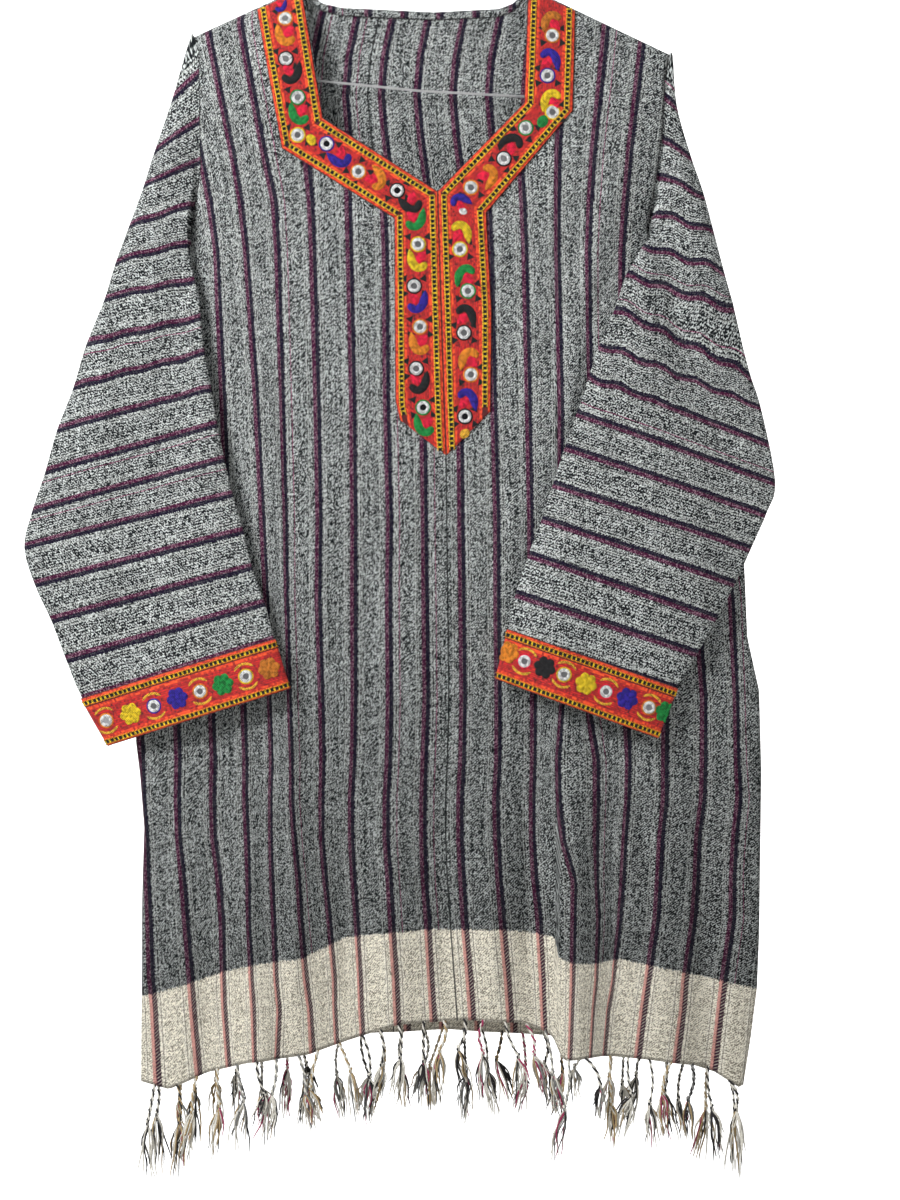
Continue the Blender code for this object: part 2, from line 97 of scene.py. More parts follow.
# The sheet runs level, bends up in a quarter circle and ends as a wall, in as many steps each
FLOOR_Z = -1.42
SHEET_WIDTH = 14
SHEET_STEPS = 8
SHEET_FRONT = -6.0
FLOOR_STEP = 0.95
BEND_RADIUS = 1.2
WALL_STEP = 0.9
FLOOR_END = 0.9
bm = bmesh.new()
bmesh.ops.create_grid(bm, x_segments=1, y_segments=3 * SHEET_STEPS, size=0.5)
for vert in bm.verts:
    step = (vert.co.y + 0.5) * 3 * SHEET_STEPS
    turn = math.radians(90) * min(max(step / SHEET_STEPS - 1, 0), 1)
    run = SHEET_FRONT + FLOOR_STEP * min(step, SHEET_STEPS) + BEND_RADIUS * math.sin(turn)
    rise = BEND_RADIUS * (1 - math.cos(turn)) + WALL_STEP * max(step - 2 * SHEET_STEPS, 0)
    vert.co = Vector((vert.co.x * SHEET_WIDTH, run, FLOOR_Z + rise))
bmesh.ops.recalc_face_normals(bm, faces=bm.faces)
mesh = bpy.data.meshes.new("backdrop")
bm.to_mesh(mesh)
bm.free()
mesh.shade_smooth()
mesh.materials.append(paper)
mesh.materials.append(plain_material("pale_floor", (0.62, 0.62, 0.61), 0.85))
for face in mesh.polygons:
    face.material_index = 1 if face.center.y < FLOOR_END else 0
backdrop = bpy.data.objects.new("backdrop", mesh)
bpy.context.scene.collection.objects.link(backdrop)
print("backdrop", len(mesh.polygons), "faces")


# %% Soft window light and fill
def add_area(name, spot, target, side, power):
    """A square area light at a spot, turned towards its target."""
    light = bpy.data.lights.new(name, "AREA")
    light.shape = "RECTANGLE"
    light.size = side
    light.size_y = side
    light.energy = power
    made = bpy.data.objects.new(name, light)
    made.location = spot
    made.rotation_euler = (Vector(target) - Vector(spot)).to_track_quat("-Z", "Y").to_euler()
    bpy.context.scene.collection.objects.link(made)


add_area("window", spot=(-1.7, -1.9, 0.95), target=(0.05, 0, -0.55), side=1.0, power=88)
add_area("fill", spot=(2.2, -2.6, -0.1), target=(0.1, 0, -0.5), side=1.8, power=9)
world = bpy.data.worlds.new("studio")
world.use_nodes = True
sky = world.node_tree.nodes["Background"]
sky.inputs["Color"].default_value = (1, 1, 1, 1)
sky.inputs["Strength"].default_value = 0.30
bpy.context.scene.world = world

# %% [markdown]
# ## Sizes and outlines
#
# A tailor would keep a few tables of points: the shoulder line, the neck, the side seams, the hem. The same
# tables shape the solid model. x is in millimetres to the right of the hanger's hook, and drop is in
# millimetres below the neck points. Left and right are the viewer's.

# %% Driving sizes
MM = 0.001
NECK_POINT_BELOW_HOOK = 133.4
CLOTH = 1.2
SLEEVE_CLOTH = 1.3
SEAM_GAP = 0.3
SEAM_HALF = SEAM_GAP / 2 + CLOTH
SEAM_ALLOWANCE = 4.0
BRAID_THICKNESS = 1.2
SLEEVE_CLEARANCE = 3.6
ARMHOLE_OPEN = 7.0
SHOULDER_WEDGE = 0.35
SKIRT_ROWS = 14
ARMHOLE_ROWS = 9
print("cloth", CLOTH, "mm, braid", BRAID_THICKNESS, "mm, seams", SEAM_GAP, "mm apart")

# %% Outlines: (x, drop), and side outlines: (drop, x)
SHOULDER_LINE = [(-209, 47), (-107, 0), (101, 0), (233, 63)]
BACK_NECKLINE = [
    (-209, 47), (-107, 0), (-90, 14), (-72, 18), (15, 22), (75, 19), (89, 14), (101, 0), (233, 63),
]
FRONT_NECK = [(-109, -12), (-88, 125), (18, 193), (98, 111), (102, -12)]
FRONT_HEM = [
    (-258, 1018), (-231, 1024), (-196, 1008), (-155, 996), (-101, 989), (-63, 976), (-19, 961), (48, 957),
    (95, 960), (123, 970), (133, 993), (170, 990), (221, 995), (267, 1003), (299, 1024), (305, 1019),
]
BACK_HEM = [(-258, 1018), (-155, 987), (-63, 977), (29, 974), (123, 978), (213, 992), (305, 1019)]
LEFT_SIDE = [
    (47, -209), (60, -204), (117, -203), (170, -202), (239, -213), (386, -228), (534, -247), (662, -261),
    (700, -263), (732, -259), (782, -255), (846, -257), (1018, -258),
]
RIGHT_SIDE = [
    (63, 233), (84, 229), (142, 226), (184, 220), (225, 213), (386, 259), (535, 303), (605, 306), (655, 317),
    (729, 319), (881, 317), (931, 315), (978, 309), (1023, 302),
]
LEFT_ARMHOLE = (47, 239)
RIGHT_ARMHOLE = (63, 225)
print("outline points:", len(FRONT_HEM) + len(LEFT_SIDE) + len(RIGHT_SIDE))

# %% Depth of the body, and the folds that the solid model has too
# How far the cloth stands off the middle plane at its fullest, and how square its section is:
# (drop, front, back, squareness)
BODY_DEPTH = [
    (0, 13, 11, 8), (200, 18, 13, 7), (450, 21, 15, 5), (750, 24, 18, 4), (1030, 27, 21, 4),
]

# Soft folds of the front and of the back: x at their top and at the hem, the drops between which they grow,
# the reach of their left and right slopes, and how far they stand out
FRONT_FOLDS = [
    # x_top, x_hem, start, full, left, right, out
    (-148, -146, 590, 860, 30, 24, 11),
    (-186, -196, 640, 900, 20, 26, -5),
    (139, 141, 640, 830, 13, 46, 14),
    (112, 112, 560, 840, 34, 12, -7),
    (-60, -66, 480, 900, 44, 44, -4),
    (-14, -22, 560, 930, 34, 34, 5),
    (60, 66, 560, 930, 40, 36, 4),
    (214, 226, 560, 900, 34, 36, 6),
    (262, 270, 600, 930, 26, 26, -5),
    (-136, -120, 250, 460, 36, 40, 4),
    (130, 128, 260, 480, 40, 36, 4),
]
BACK_FOLDS = [
    (-170, -178, 420, 860, 40, 44, 6),
    (-70, -84, 360, 820, 50, 46, -5),
    (30, 22, 460, 900, 44, 44, 7),
    (120, 134, 380, 840, 46, 44, -5),
    (214, 226, 460, 900, 44, 40, 6),
]
print("folds:", len(FRONT_FOLDS), "in front,", len(BACK_FOLDS), "behind")

# %% Sleeve sections from armhole to cuff
# Each row gives the outer and the inner fold, half the depth, how far the section has come forward on to the
# body's front (0 to 1), and how much of the armhole's curve it keeps
LEFT_SLEEVE = [
    # outer_x, outer_drop, inner_x, inner_drop, half_depth, forward, curve
    (-230, 109, -213, 245, 10, 0.12, 0.55),
    (-245, 155, -212, 250, 11, 0.28, 0.25),
    (-255, 190, -211, 257, 11, 0.46, 0.1),
    (-268, 226, -209, 265, 11, 0.66, 0),
    (-280, 259, -206, 276, 11, 0.86, 0),
    (-290, 293, -202, 294, 11, 1, 0),
    (-307, 335, -201, 312, 12, 1, 0),
    (-319, 375, -197, 344, 12, 1, 0),
    (-334, 414, -191, 377, 12, 1, 0),
    (-345, 453, -185, 410, 12, 1, 0),
    (-357, 489, -178, 442, 12, 1, 0),
    (-364, 522, -170, 474, 12, 1, 0),
    (-354, 557, -160, 508, 12, 1, 0),
    (-339, 590, -152, 541, 11, 1, 0),
    (-325, 627, -140, 574, 11, 1, 0),
    (-311, 661, -132, 606, 10, 1, 0),
    (-286, 705, -118, 652, 10, 1, 0),
]
RIGHT_SLEEVE = [
    (240, 111, 215, 232, 10, 0.2, 0.55),
    (252, 157, 212, 239, 11, 0.42, 0.25),
    (264, 193, 205, 247, 11, 0.58, 0.1),
    (273, 228, 199, 258, 11, 0.8, 0),
    (282, 265, 191, 272, 11, 0.94, 0),
    (292, 304, 181, 302, 12, 1, 0),
    (306, 359, 167, 335, 12, 1, 0),
    (317, 394, 157, 365, 12, 1, 0),
    (330, 461, 146, 398, 12, 1, 0),
    (322, 490, 135, 429, 12, 1, 0),
    (308, 522, 124, 463, 12, 1, 0),
    (293, 554, 114, 495, 12, 1, 0),
    (276, 586, 102, 527, 11, 1, 0),
    (258, 618, 90, 563, 11, 1, 0),
    (238, 651, 83, 597, 10, 1, 0),
    (219, 697, 72, 643, 10, 1, 0),
]
print("sleeve sections:", len(LEFT_SLEEVE), "and", len(RIGHT_SLEEVE))


# %% Shape of the body as functions of those tables
def along(table, value, column=1):
    """A table's column at a value of its first column, on straight lines between the rows."""
    if value <= table[0][0]:
        return table[0][column]
    for low, high in zip(table, table[1:]):
        if value <= high[0]:
            share = (value - low[0]) / (high[0] - low[0])
            return low[column] + share * (high[column] - low[column])
    return table[-1][column]


def ease(value):
    """A smooth step from 0 to 1."""
    value = min(max(value, 0.0), 1.0)
    return value * value * (3 - 2 * value)


def place(x, depth, drop):
    """A point of the part, in metres, from millimetres."""
    return Vector((x, depth, -NECK_POINT_BELOW_HOOK - drop)) * MM


def across(x, drop):
    """How far across the body a point lies, from 0 at the left side to 1 at the right."""
    left = along(LEFT_SIDE, drop)
    return (x - left) / (along(RIGHT_SIDE, drop) - left)


def armhole_opening(drop, armhole):
    """How far the armhole's edge stands off the middle plane."""
    share = (drop - armhole[0]) / (armhole[1] - armhole[0])
    return ARMHOLE_OPEN * math.sin(math.pi * min(max(share, 0.0), 1.0))


def fold_depth(x, drop, folds):
    """The sum of the soft folds at a point."""
    total = 0.0
    for x_top, x_hem, start, full, left, right, out in folds:
        centre = x_top + (x_hem - x_top) * ease((drop - start) / (1000 - start))
        reach = left if x < centre else right
        off = abs(x - centre) / reach
        if off < 1:
            total += out * ease((drop - start) / (full - start)) * (1 - ease(off))
    return total


def stand_off(x, drop, column, folds):
    """How far a panel's outer face stands off the middle plane between front and back."""
    share = min(max(across(x, drop), 0.0), 1.0)
    lens = 1 - abs(2 * share - 1) ** along(BODY_DEPTH, drop, 3)
    opening = (1 - share) * armhole_opening(drop, LEFT_ARMHOLE) + share * armhole_opening(drop, RIGHT_ARMHOLE)
    body = opening + (along(BODY_DEPTH, drop, column) - opening) * lens
    wedge = SHOULDER_WEDGE * max(drop - along(SHOULDER_LINE, x), 0.0)
    if body < 0.01 or wedge < 0.01:
        return SEAM_HALF
    rise = body * wedge / (body**4 + wedge**4) ** 0.25
    return SEAM_HALF + rise + fold_depth(x, drop, folds) * ease(2.2 * lens)


def front_stand_off(x, drop):
    return stand_off(x, drop, 1, FRONT_FOLDS)


def back_stand_off(x, drop):
    return stand_off(x, drop, 2, BACK_FOLDS)


# %% [markdown]
# ## The weave's map
#
# Stripes are what the eye follows down this tunic, and they drift, pinch and open with the folds. Painting
# them by hand would be an image. Instead a short table says where each stripe passes at a few heights, and
# every point of the cloth gets the number of the stripe it lies at. That number is its u, and its height
# above the hem is its v, so one procedural weave serves the whole garment and turns with the cloth on the
# sleeves.

# %% Where the front's stripes pass: drop, then x of stripes 0 to 18
STRIPE_PITCH = 33.6
SEAM_STRIPE = 9.57
BAND_HEIGHT = 87.0
FRONT_STRIPES = [
    (37, -329, -296, -262, -228, -195, -164, -126, -88, -50, -13, 25, 63, 100, 138, 176, 211, 246, 280, 315),
    (156, -297, -265, -232, -201, -171, -142, -102, -63, -31, 2, 34, 64, 95, 131, 163, 197, 230, 264, 298),
    (202, -291, -258, -224, -192, -163, -132, -98, -63, -31, 2, 34, 66, 98, 130, 160, 193, 227, 260, 294),
    (248, -279, -247, -214, -186, -158, -129, -96, -62, -29, 4, 36, 68, 100, 130, 158, 190, 223, 257, 291),
    (386, -277, -245, -213, -179, -148, -125, -92, -59, -28, 6, 40, 71, 103, 133, 160, 188, 218, 250, 282),
    (497, -276, -245, -210, -175, -142, -122, -90, -58, -25, 7, 41, 74, 105, 132, 158, 188, 218, 250, 283),
    (570, -270, -238, -205, -172, -138, -121, -91, -58, -26, 8, 42, 74, 105, 130, 158, 191, 225, 259, 292),
    (662, -258, -223, -190, -160, -136, -118, -88, -58, -25, 9, 43, 75, 108, 134, 156, 193, 230, 266, 296),
    (718, -256, -221, -188, -158, -134, -116, -87, -59, -26, 7, 42, 75, 108, 129, 166, 195, 229, 266, 297),
    (754, -255, -222, -189, -158, -135, -116, -88, -61, -28, 6, 40, 73, 107, 130, 166, 194, 229, 265, 299),
    (791, -252, -221, -188, -156, -135, -113, -88, -61, -28, 6, 40, 74, 107, 134, 165, 191, 225, 260, 295),
    (828, -251, -217, -183, -155, -134, -109, -85, -59, -25, 7, 42, 76, 109, 145, 165, 189, 223, 259, 293),
    (865, -249, -214, -180, -155, -132, -107, -81, -56, -23, 10, 44, 79, 113, 144, 167, 186, 221, 256, 293),
    (920, -247, -209, -179, -152, -130, -102, -76, -53, -19, 13, 49, 84, 116, 143, 165, 180, 213, 248, 285),
    (948, -244, -207, -178, -150, -127, -98, -76, -52, -18, 15, 51, 86, 117, 142, 162, 175, 209, 246, 282),
    (1022, -240, -200, -172, -148, -131, -93, -72, -47, -14, 19, 55, 90, 120, 139, 158, 168, 200, 236, 274),
]
# Where one stripe of the back passes: drop, x. It bows where the cloth hangs from the neck
BACK_STRIPE = 11
BACK_STRIPE_LINE = [
    (-20, 24), (29, 10), (63, 3), (99, 0), (134, 3), (189, 10), (260, 19), (400, 24), (1100, 24),
]
BACK_STRIPE_PITCH = 33.4
# The natural band's top edge in front: x, drop
BAND_TOP = [
    (-252, 938), (-213, 926), (-180, 914), (-155, 907), (-106, 900), (-67, 882), (-21, 876), (12, 874),
    (77, 874), (109, 878), (127, 881), (129, 899), (139, 903), (165, 905), (186, 901), (211, 907), (246, 914),
    (282, 924), (315, 932),
]
print("front stripes:", len(FRONT_STRIPES[0]) - 1, "on", len(FRONT_STRIPES), "rows")


# %% The number of the stripe at a point of the front
def front_stripe(x, drop):
    table = FRONT_STRIPES
    drop = min(max(drop, table[0][0]), table[-1][0])
    row = next(index for index in range(len(table) - 1) if drop <= table[index + 1][0])
    low, high = table[row], table[row + 1]
    share = (drop - low[0]) / (high[0] - low[0])
    places = [low[column] + share * (high[column] - low[column]) for column in range(1, len(low))]
    for index in range(len(places) - 1):
        if x <= places[index + 1] or index == len(places) - 2:
            return index + (x - places[index]) / (places[index + 1] - places[index])


def back_stripe(x, drop):
    return (x - along(BACK_STRIPE_LINE, drop)) / BACK_STRIPE_PITCH + BACK_STRIPE


def height_in_cloth(drop, hem, band):
    """Height above the hem, stretched so that the natural band is everywhere as tall as it was woven."""
    if drop > band:
        return BAND_HEIGHT * (hem - drop) / (hem - band)
    return BAND_HEIGHT + band - drop


# %% [markdown]
# ## Front and back
#
# Front and back are one grid of points each, laid between the side outlines, the shoulder and the hem, and
# pushed out from the middle by the depth functions. The folds are sums of soft ridges, and the creases
# below are shorter ones, each set between two points. Solidify then gives the sheet its thickness.

# %% Creases of front and back
# Each crease runs between two points, and has a reach to both sides and a height
FRONT_CREASES = [
    # x_a, drop_a, x_b, drop_b, reach, out
    (-196, 100, -150, 250, 22, 1.6),
    (-206, 220, -140, 330, 16, -1.4),
    (-200, 300, -150, 470, 20, 1.3),
    (-128, 330, -112, 560, 14, -1.6),
    (-96, 470, -88, 700, 16, 1.2),
    (-50, 480, -44, 760, 15, -1.3),
    (-8, 430, 4, 700, 13, 1.4),
    (40, 450, 44, 640, 14, -1.3),
    (84, 430, 90, 720, 16, 1.5),
    (140, 210, 120, 400, 20, -1.4),
    (196, 130, 150, 300, 18, 1.7),
    (205, 210, 140, 360, 14, -1.3),
    (150, 300, 136, 430, 14, 1.3),
    (135, 805, 155, 775, 8, 1.8),
    (130, 812, 150, 790, 6, -1.6),
    (-225, 700, -230, 930, 12, 1.6),
    (-204, 690, -212, 900, 10, -1.5),
    (-150, 590, -140, 985, 15, -2.8),
    (-122, 590, -112, 985, 14, 2.8),
    (127, 800, 131, 1035, 7, 1.8),
    (138, 800, 141, 1035, 6, -1.6),
    (-78, 760, -60, 960, 14, -1.6),
    (-30, 780, -28, 955, 14, 1.6),
    (20, 740, 24, 950, 14, -1.5),
    (60, 760, 72, 950, 12, 1.5),
    (98, 720, 104, 930, 10, -1.5),
    (186, 720, 196, 960, 12, 1.5),
    (206, 700, 214, 930, 10, -1.6),
    (246, 720, 256, 960, 12, 1.6),
    (286, 700, 292, 960, 10, -1.4),
]
BACK_CREASES = [
    (-190, 90, -120, 300, 22, 1.6),
    (200, 110, 130, 320, 22, 1.6),
    (-150, 240, -160, 480, 18, -1.4),
    (160, 260, 150, 500, 18, -1.5),
    (-60, 120, -70, 420, 20, 1.2),
    (60, 140, 66, 400, 20, -1.2),
    (0, 300, 6, 620, 18, 1.3),
    (-120, 560, -130, 930, 16, -1.7),
    (-40, 600, -48, 950, 14, 1.6),
    (70, 580, 84, 930, 15, 1.5),
    (150, 600, 168, 950, 14, -1.6),
    (250, 640, 262, 940, 14, 1.5),
]
CREASE_STRENGTH = 2.0
SIDE_FADE = 6
END_FADE = 4


def crease_depth(x, drop, creases):
    """The sum of the hand-placed creases at a point: each fades across its reach and towards both ends."""
    total = 0.0
    for x_a, drop_a, x_b, drop_b, reach, out in creases:
        run, fall = x_b - x_a, drop_b - drop_a
        length = math.hypot(run, fall)
        along_it = ((x - x_a) * run + (drop - drop_a) * fall) / length
        off = abs((x - x_a) * fall - (drop - drop_a) * run) / length
        if off < reach and 0 < along_it < length:
            ends = ease(END_FADE * along_it / length) * ease(END_FADE * (1 - along_it / length))
            total += out * ends * (1 - ease(off / reach))
    return total * CREASE_STRENGTH


def side_fade(x, drop):
    """1 over most of the panel's width, falling to 0 at both side seams."""
    share = min(max(across(x, drop), 0.0), 1.0)
    return ease(SIDE_FADE * share) * ease(SIDE_FADE * (1 - share))


def front_depth(x, drop):
    return -front_stand_off(x, drop) - crease_depth(x, drop, FRONT_CREASES) * side_fade(x, drop)


def back_depth(x, drop):
    return back_stand_off(x, drop) + crease_depth(x, drop, BACK_CREASES) * side_fade(x, drop)


# %% A fine panel as a grid between its outlines
FINE_COLUMNS = 132
FINE_SKIRT = 168
FINE_ARMHOLE = 48
SETTLING_ROUNDS = 7
MIDDLE_DROP = 500.0


def panel_point(share, row, top_line, hem_line, x=0.0):
    """x and drop of a panel's grid point: rows run from the hem (0) through the underarm to the top."""
    drop = MIDDLE_DROP
    for _ in range(SETTLING_ROUNDS):
        hem = along(hem_line, x)
        top = along(top_line, x)
        ends = [
            (along(hem_line, side[-1][1]), along(SHOULDER_LINE, side[0][1]), armhole[1])
            for side, armhole in ((LEFT_SIDE, LEFT_ARMHOLE), (RIGHT_SIDE, RIGHT_ARMHOLE))
        ]
        left, right = [(low - under) / (low - high) for low, high, under in ends]
        under = left + (right - left) * share
        if row <= SKIRT_ROWS:
            height = under * row / SKIRT_ROWS
        else:
            height = under + (1 - under) * (row - SKIRT_ROWS) / ARMHOLE_ROWS
        drop = hem + (top - hem) * height
        side_left = along(LEFT_SIDE, drop)
        x = side_left + share * (along(RIGHT_SIDE, drop) - side_left)
    return x, drop


def fine_row(step):
    """A fine grid's row on the coarse rows' scale."""
    if step <= FINE_SKIRT:
        return SKIRT_ROWS * step / FINE_SKIRT
    return SKIRT_ROWS + ARMHOLE_ROWS * (step - FINE_SKIRT) / FINE_ARMHOLE


def fine_panel(top_line, hem_line, depth):
    bm = bmesh.new()
    rows = FINE_SKIRT + FINE_ARMHOLE
    bmesh.ops.create_grid(bm, x_segments=FINE_COLUMNS, y_segments=rows, size=0.5)
    for vert in bm.verts:
        share = vert.co.x + 0.5
        row = fine_row(round((vert.co.y + 0.5) * rows))
        x, drop = panel_point(share, row, top_line, hem_line)
        vert.co = place(x, depth(x, drop), drop)
    return bm


# %% The weave's map on a panel
def map_weave(bm, stripe, hem_line, band_line):
    """Writes the weave's map on every corner of every face."""
    weave = bm.loops.layers.uv.new("weave")
    for vert in bm.verts:
        x = vert.co.x / MM
        drop = -vert.co.z / MM - NECK_POINT_BELOW_HOOK
        spot = (
            stripe(x, drop) * STRIPE_PITCH * MM,
            height_in_cloth(drop, along(hem_line, x), along(band_line, x)) * MM,
        )
        for loop in vert.link_loops:
            loop[weave].uv = spot


# %% A finished piece and its wall
def new_piece(name, bm, materials):
    """A finished piece at the origin: it rides on the one body."""
    mesh = bpy.data.meshes.new(name)
    bm.normal_update()
    bm.to_mesh(mesh)
    bm.free()
    mesh.shade_smooth()
    for material in materials:
        mesh.materials.append(material)
    made = bpy.data.objects.new(name, mesh)
    bpy.context.scene.collection.objects.link(made)
    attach(made, "root")
    print(name, len(mesh.polygons), "faces")
    return made


def thicken(made, thickness, outwards=False, even=True):
    wall = made.modifiers.new("wall", "SOLIDIFY")
    wall.thickness = thickness * MM
    wall.offset = 1 if outwards else -1
    wall.use_even_offset = even


# %% Cutting along an outline
def faces_within(bm, outline):
    """Cuts a front surface along a convex outline, and returns the faces inside it."""
    inside = list(bm.faces)
    for (x_a, drop_a), (x_b, drop_b) in zip(outline, outline[1:] + outline[:1]):
        edge = place(x_b, 0, drop_b) - place(x_a, 0, drop_a)
        inward = Vector((0, -1, 0)).cross(edge).normalized()
        on_plane = place(x_a, 0, drop_a)
        touched = set(inside)
        for face in inside:
            touched.update(face.edges)
            touched.update(face.verts)
        cut = bmesh.ops.bisect_plane(bm, geom=list(touched), plane_co=on_plane, plane_no=inward, dist=1e-7)
        faces = [item for item in cut["geom"] if isinstance(item, bmesh.types.BMFace)]
        inside = [face for face in faces if (face.calc_center_median() - on_plane).dot(inward) > 0]
    return inside


# %% [markdown]
# ## The cloth's material
#
# The ground is a twill: a dark warp and a light weft cross, and the step of one thread from row to row draws
# the fine diagonal. The material builds it from the map: u picks the thread and the stripe, v the height.
# Plum and navy warps replace the dark ones in each stripe, and in the hem band the weft turns natural.


# %% Short calls that add nodes to a material
class Nodes:
    """Adds nodes to a material. A value is a number, a colour or another node's output."""

    def __init__(self, material):
        self.tree = material.node_tree
        self.shader = self.tree.nodes["Principled BSDF"]

    def put(self, socket, value):
        if isinstance(value, tuple):
            socket.default_value = (*value, 1)
        elif isinstance(value, (int, float)):
            socket.default_value = value
        else:
            self.tree.links.new(value, socket)

    def shade(self, **values):
        """Sets the shader's own sockets, such as Base_Color."""
        for name, value in values.items():
            self.put(self.shader.inputs[name.replace("_", " ")], value)

    def math(self, operation, *values, clamp=False):
        node = self.tree.nodes.new("ShaderNodeMath")
        node.operation = operation
        node.use_clamp = clamp
        for socket, value in zip(node.inputs, values):
            self.put(socket, value)
        return node.outputs[0]

    def add(self, first, second, clamp=False):
        return self.math("ADD", first, second, clamp=clamp)

    def minus(self, first, second):
        return self.math("SUBTRACT", first, second)

    def times(self, first, second, clamp=False):
        return self.math("MULTIPLY", first, second, clamp=clamp)

    def over(self, first, second, clamp=False):
        return self.math("DIVIDE", first, second, clamp=clamp)

    def scaled(self, value, factor, offset, clamp=False):
        return self.add(self.times(value, factor), offset, clamp)

    def centred(self, value, width):
        """A value between 0 and 1 spread evenly about 0."""
        return self.times(self.minus(value, 0.5), width)

    def between(self, value, low, high, soft):
        """1 between low and high, 0 outside, with soft edges."""
        rise = self.over(self.minus(value, low - soft / 2), soft, clamp=True)
        fall = self.over(self.minus(high + soft / 2, value), soft, clamp=True)
        return self.times(rise, fall)

    def lines(self, value, places, soft):
        """1 at each of several places between low and high."""
        shown = [self.between(value, low, high, soft) for low, high in places]
        for other in shown[1:]:
            shown[0] = self.math("MAXIMUM", shown[0], other)
        return shown[0]

    def mix(self, factor, first, second, blend="MIX"):
        node = self.tree.nodes.new("ShaderNodeMix")
        node.data_type = "RGBA"
        node.blend_type = blend
        for index, value in ((0, factor), (6, first), (7, second)):
            self.put(node.inputs[index], value)
        return node.outputs[2]

    def grey(self, level):
        node = self.tree.nodes.new("ShaderNodeCombineColor")
        for socket in node.inputs[:3]:
            self.put(socket, level)
        return node.outputs[0]

    def object_place(self):
        return self.tree.nodes.new("ShaderNodeTexCoord").outputs["Object"]

    def uv_map(self, name):
        node = self.tree.nodes.new("ShaderNodeUVMap")
        node.uv_map = name
        return node.outputs["UV"]

    def split(self, vector):
        node = self.tree.nodes.new("ShaderNodeSeparateXYZ")
        self.put(node.inputs[0], vector)
        return node.outputs

    def combine(self, x, y):
        node = self.tree.nodes.new("ShaderNodeCombineXYZ")
        self.put(node.inputs[0], x)
        self.put(node.inputs[1], y)
        return node.outputs[0]

    def noise(self, vector, scale, detail=2.0, rough=0.5):
        node = self.tree.nodes.new("ShaderNodeTexNoise")
        for name, value in (("Scale", scale), ("Detail", detail), ("Roughness", rough), ("Vector", vector)):
            self.put(node.inputs[name], value)
        return node.outputs["Fac"]

    def chance(self, x, y):
        """A random number for each pair of whole numbers below x and y."""
        node = self.tree.nodes.new("ShaderNodeTexWhiteNoise")
        node.noise_dimensions = "2D"
        whole = [value if isinstance(value, float) else self.math("FLOOR", value) for value in (x, y)]
        self.put(node.inputs["Vector"], self.combine(*whole))
        return node.outputs["Value"]

    def bump(self, height, distance, strength):
        node = self.tree.nodes.new("ShaderNodeBump")
        for name, value in (("Strength", strength), ("Distance", distance), ("Height", height)):
            self.put(node.inputs[name], value)
        self.shade(Normal=node.outputs["Normal"])


# %% Threads and streaks of the weave
THREAD = 0.00062
SLEEVE_ROW = 0.0024


def weave_threads(nodes, streaks, twill, rows):
    """The map's u and v in metres, random numbers thread by thread, and how far the light weft shows."""
    weave = nodes.uv_map("weave")
    u, v = nodes.split(weave)[:2]
    wander = nodes.centred(nodes.noise(weave, 55), 0.0011)
    u_thread = nodes.over(nodes.add(u, wander), THREAD)
    v_thread = nodes.over(nodes.minus(v, wander), THREAD)
    slant = nodes.minus(v_thread, u_thread)
    speck = nodes.chance(nodes.times(slant, 0.64), nodes.times(nodes.add(v_thread, u_thread), 0.38))
    diagonal = nodes.math("SINE", nodes.times(slant, math.pi / 2))

    # Streaks are warps that lie closer or looser for some centimetres
    streak = nodes.minus(nodes.noise(nodes.combine(nodes.times(u, 520), nodes.times(v, 9)), 1.0), 0.5)
    shown = nodes.add(nodes.centred(speck, 2.4), nodes.times(diagonal, twill))
    shown = nodes.add(shown, nodes.times(streak, streaks))
    if rows:
        bowed = nodes.times(nodes.noise(weave, 38, 1), 16)
        row_wave = nodes.math("SINE", nodes.add(nodes.times(u, math.tau / SLEEVE_ROW), bowed))
        shown = nodes.add(shown, nodes.times(row_wave, rows))
    return SimpleNamespace(
        u=u, v=v, slant=slant, speck=speck, shown=shown,
        warp_speck=nodes.chance(u_thread, 0.5),
        slub=nodes.scaled(nodes.chance(0.5, v_thread), 0.34, 0.80),
        blotch=nodes.scaled(nodes.noise(weave, 24, 3), 0.34, 0.83),
        weft_up=nodes.add(shown, 0.12, clamp=True),
    )


# %% Stripes of plum, navy and fine light lines, in millimetres across each stripe
WEFT_LIGHT = (0.68, 0.72, 0.71)
WARP_DARK = (0.009, 0.011, 0.013)
LINE_LIGHT = (0.64, 0.67, 0.64)
PLUM = (0.065, 0.008, 0.036)
PLUM_SPECK = (0.42, 0.17, 0.27)
FINE_PLUM = (0.42, 0.07, 0.20)
NAVY = (0.008, 0.005, 0.02)
LIGHT_LINES = ((3.4, 4.3), (6.0, 6.7), (-10.6, -9.7), (-8.2, -7.7))


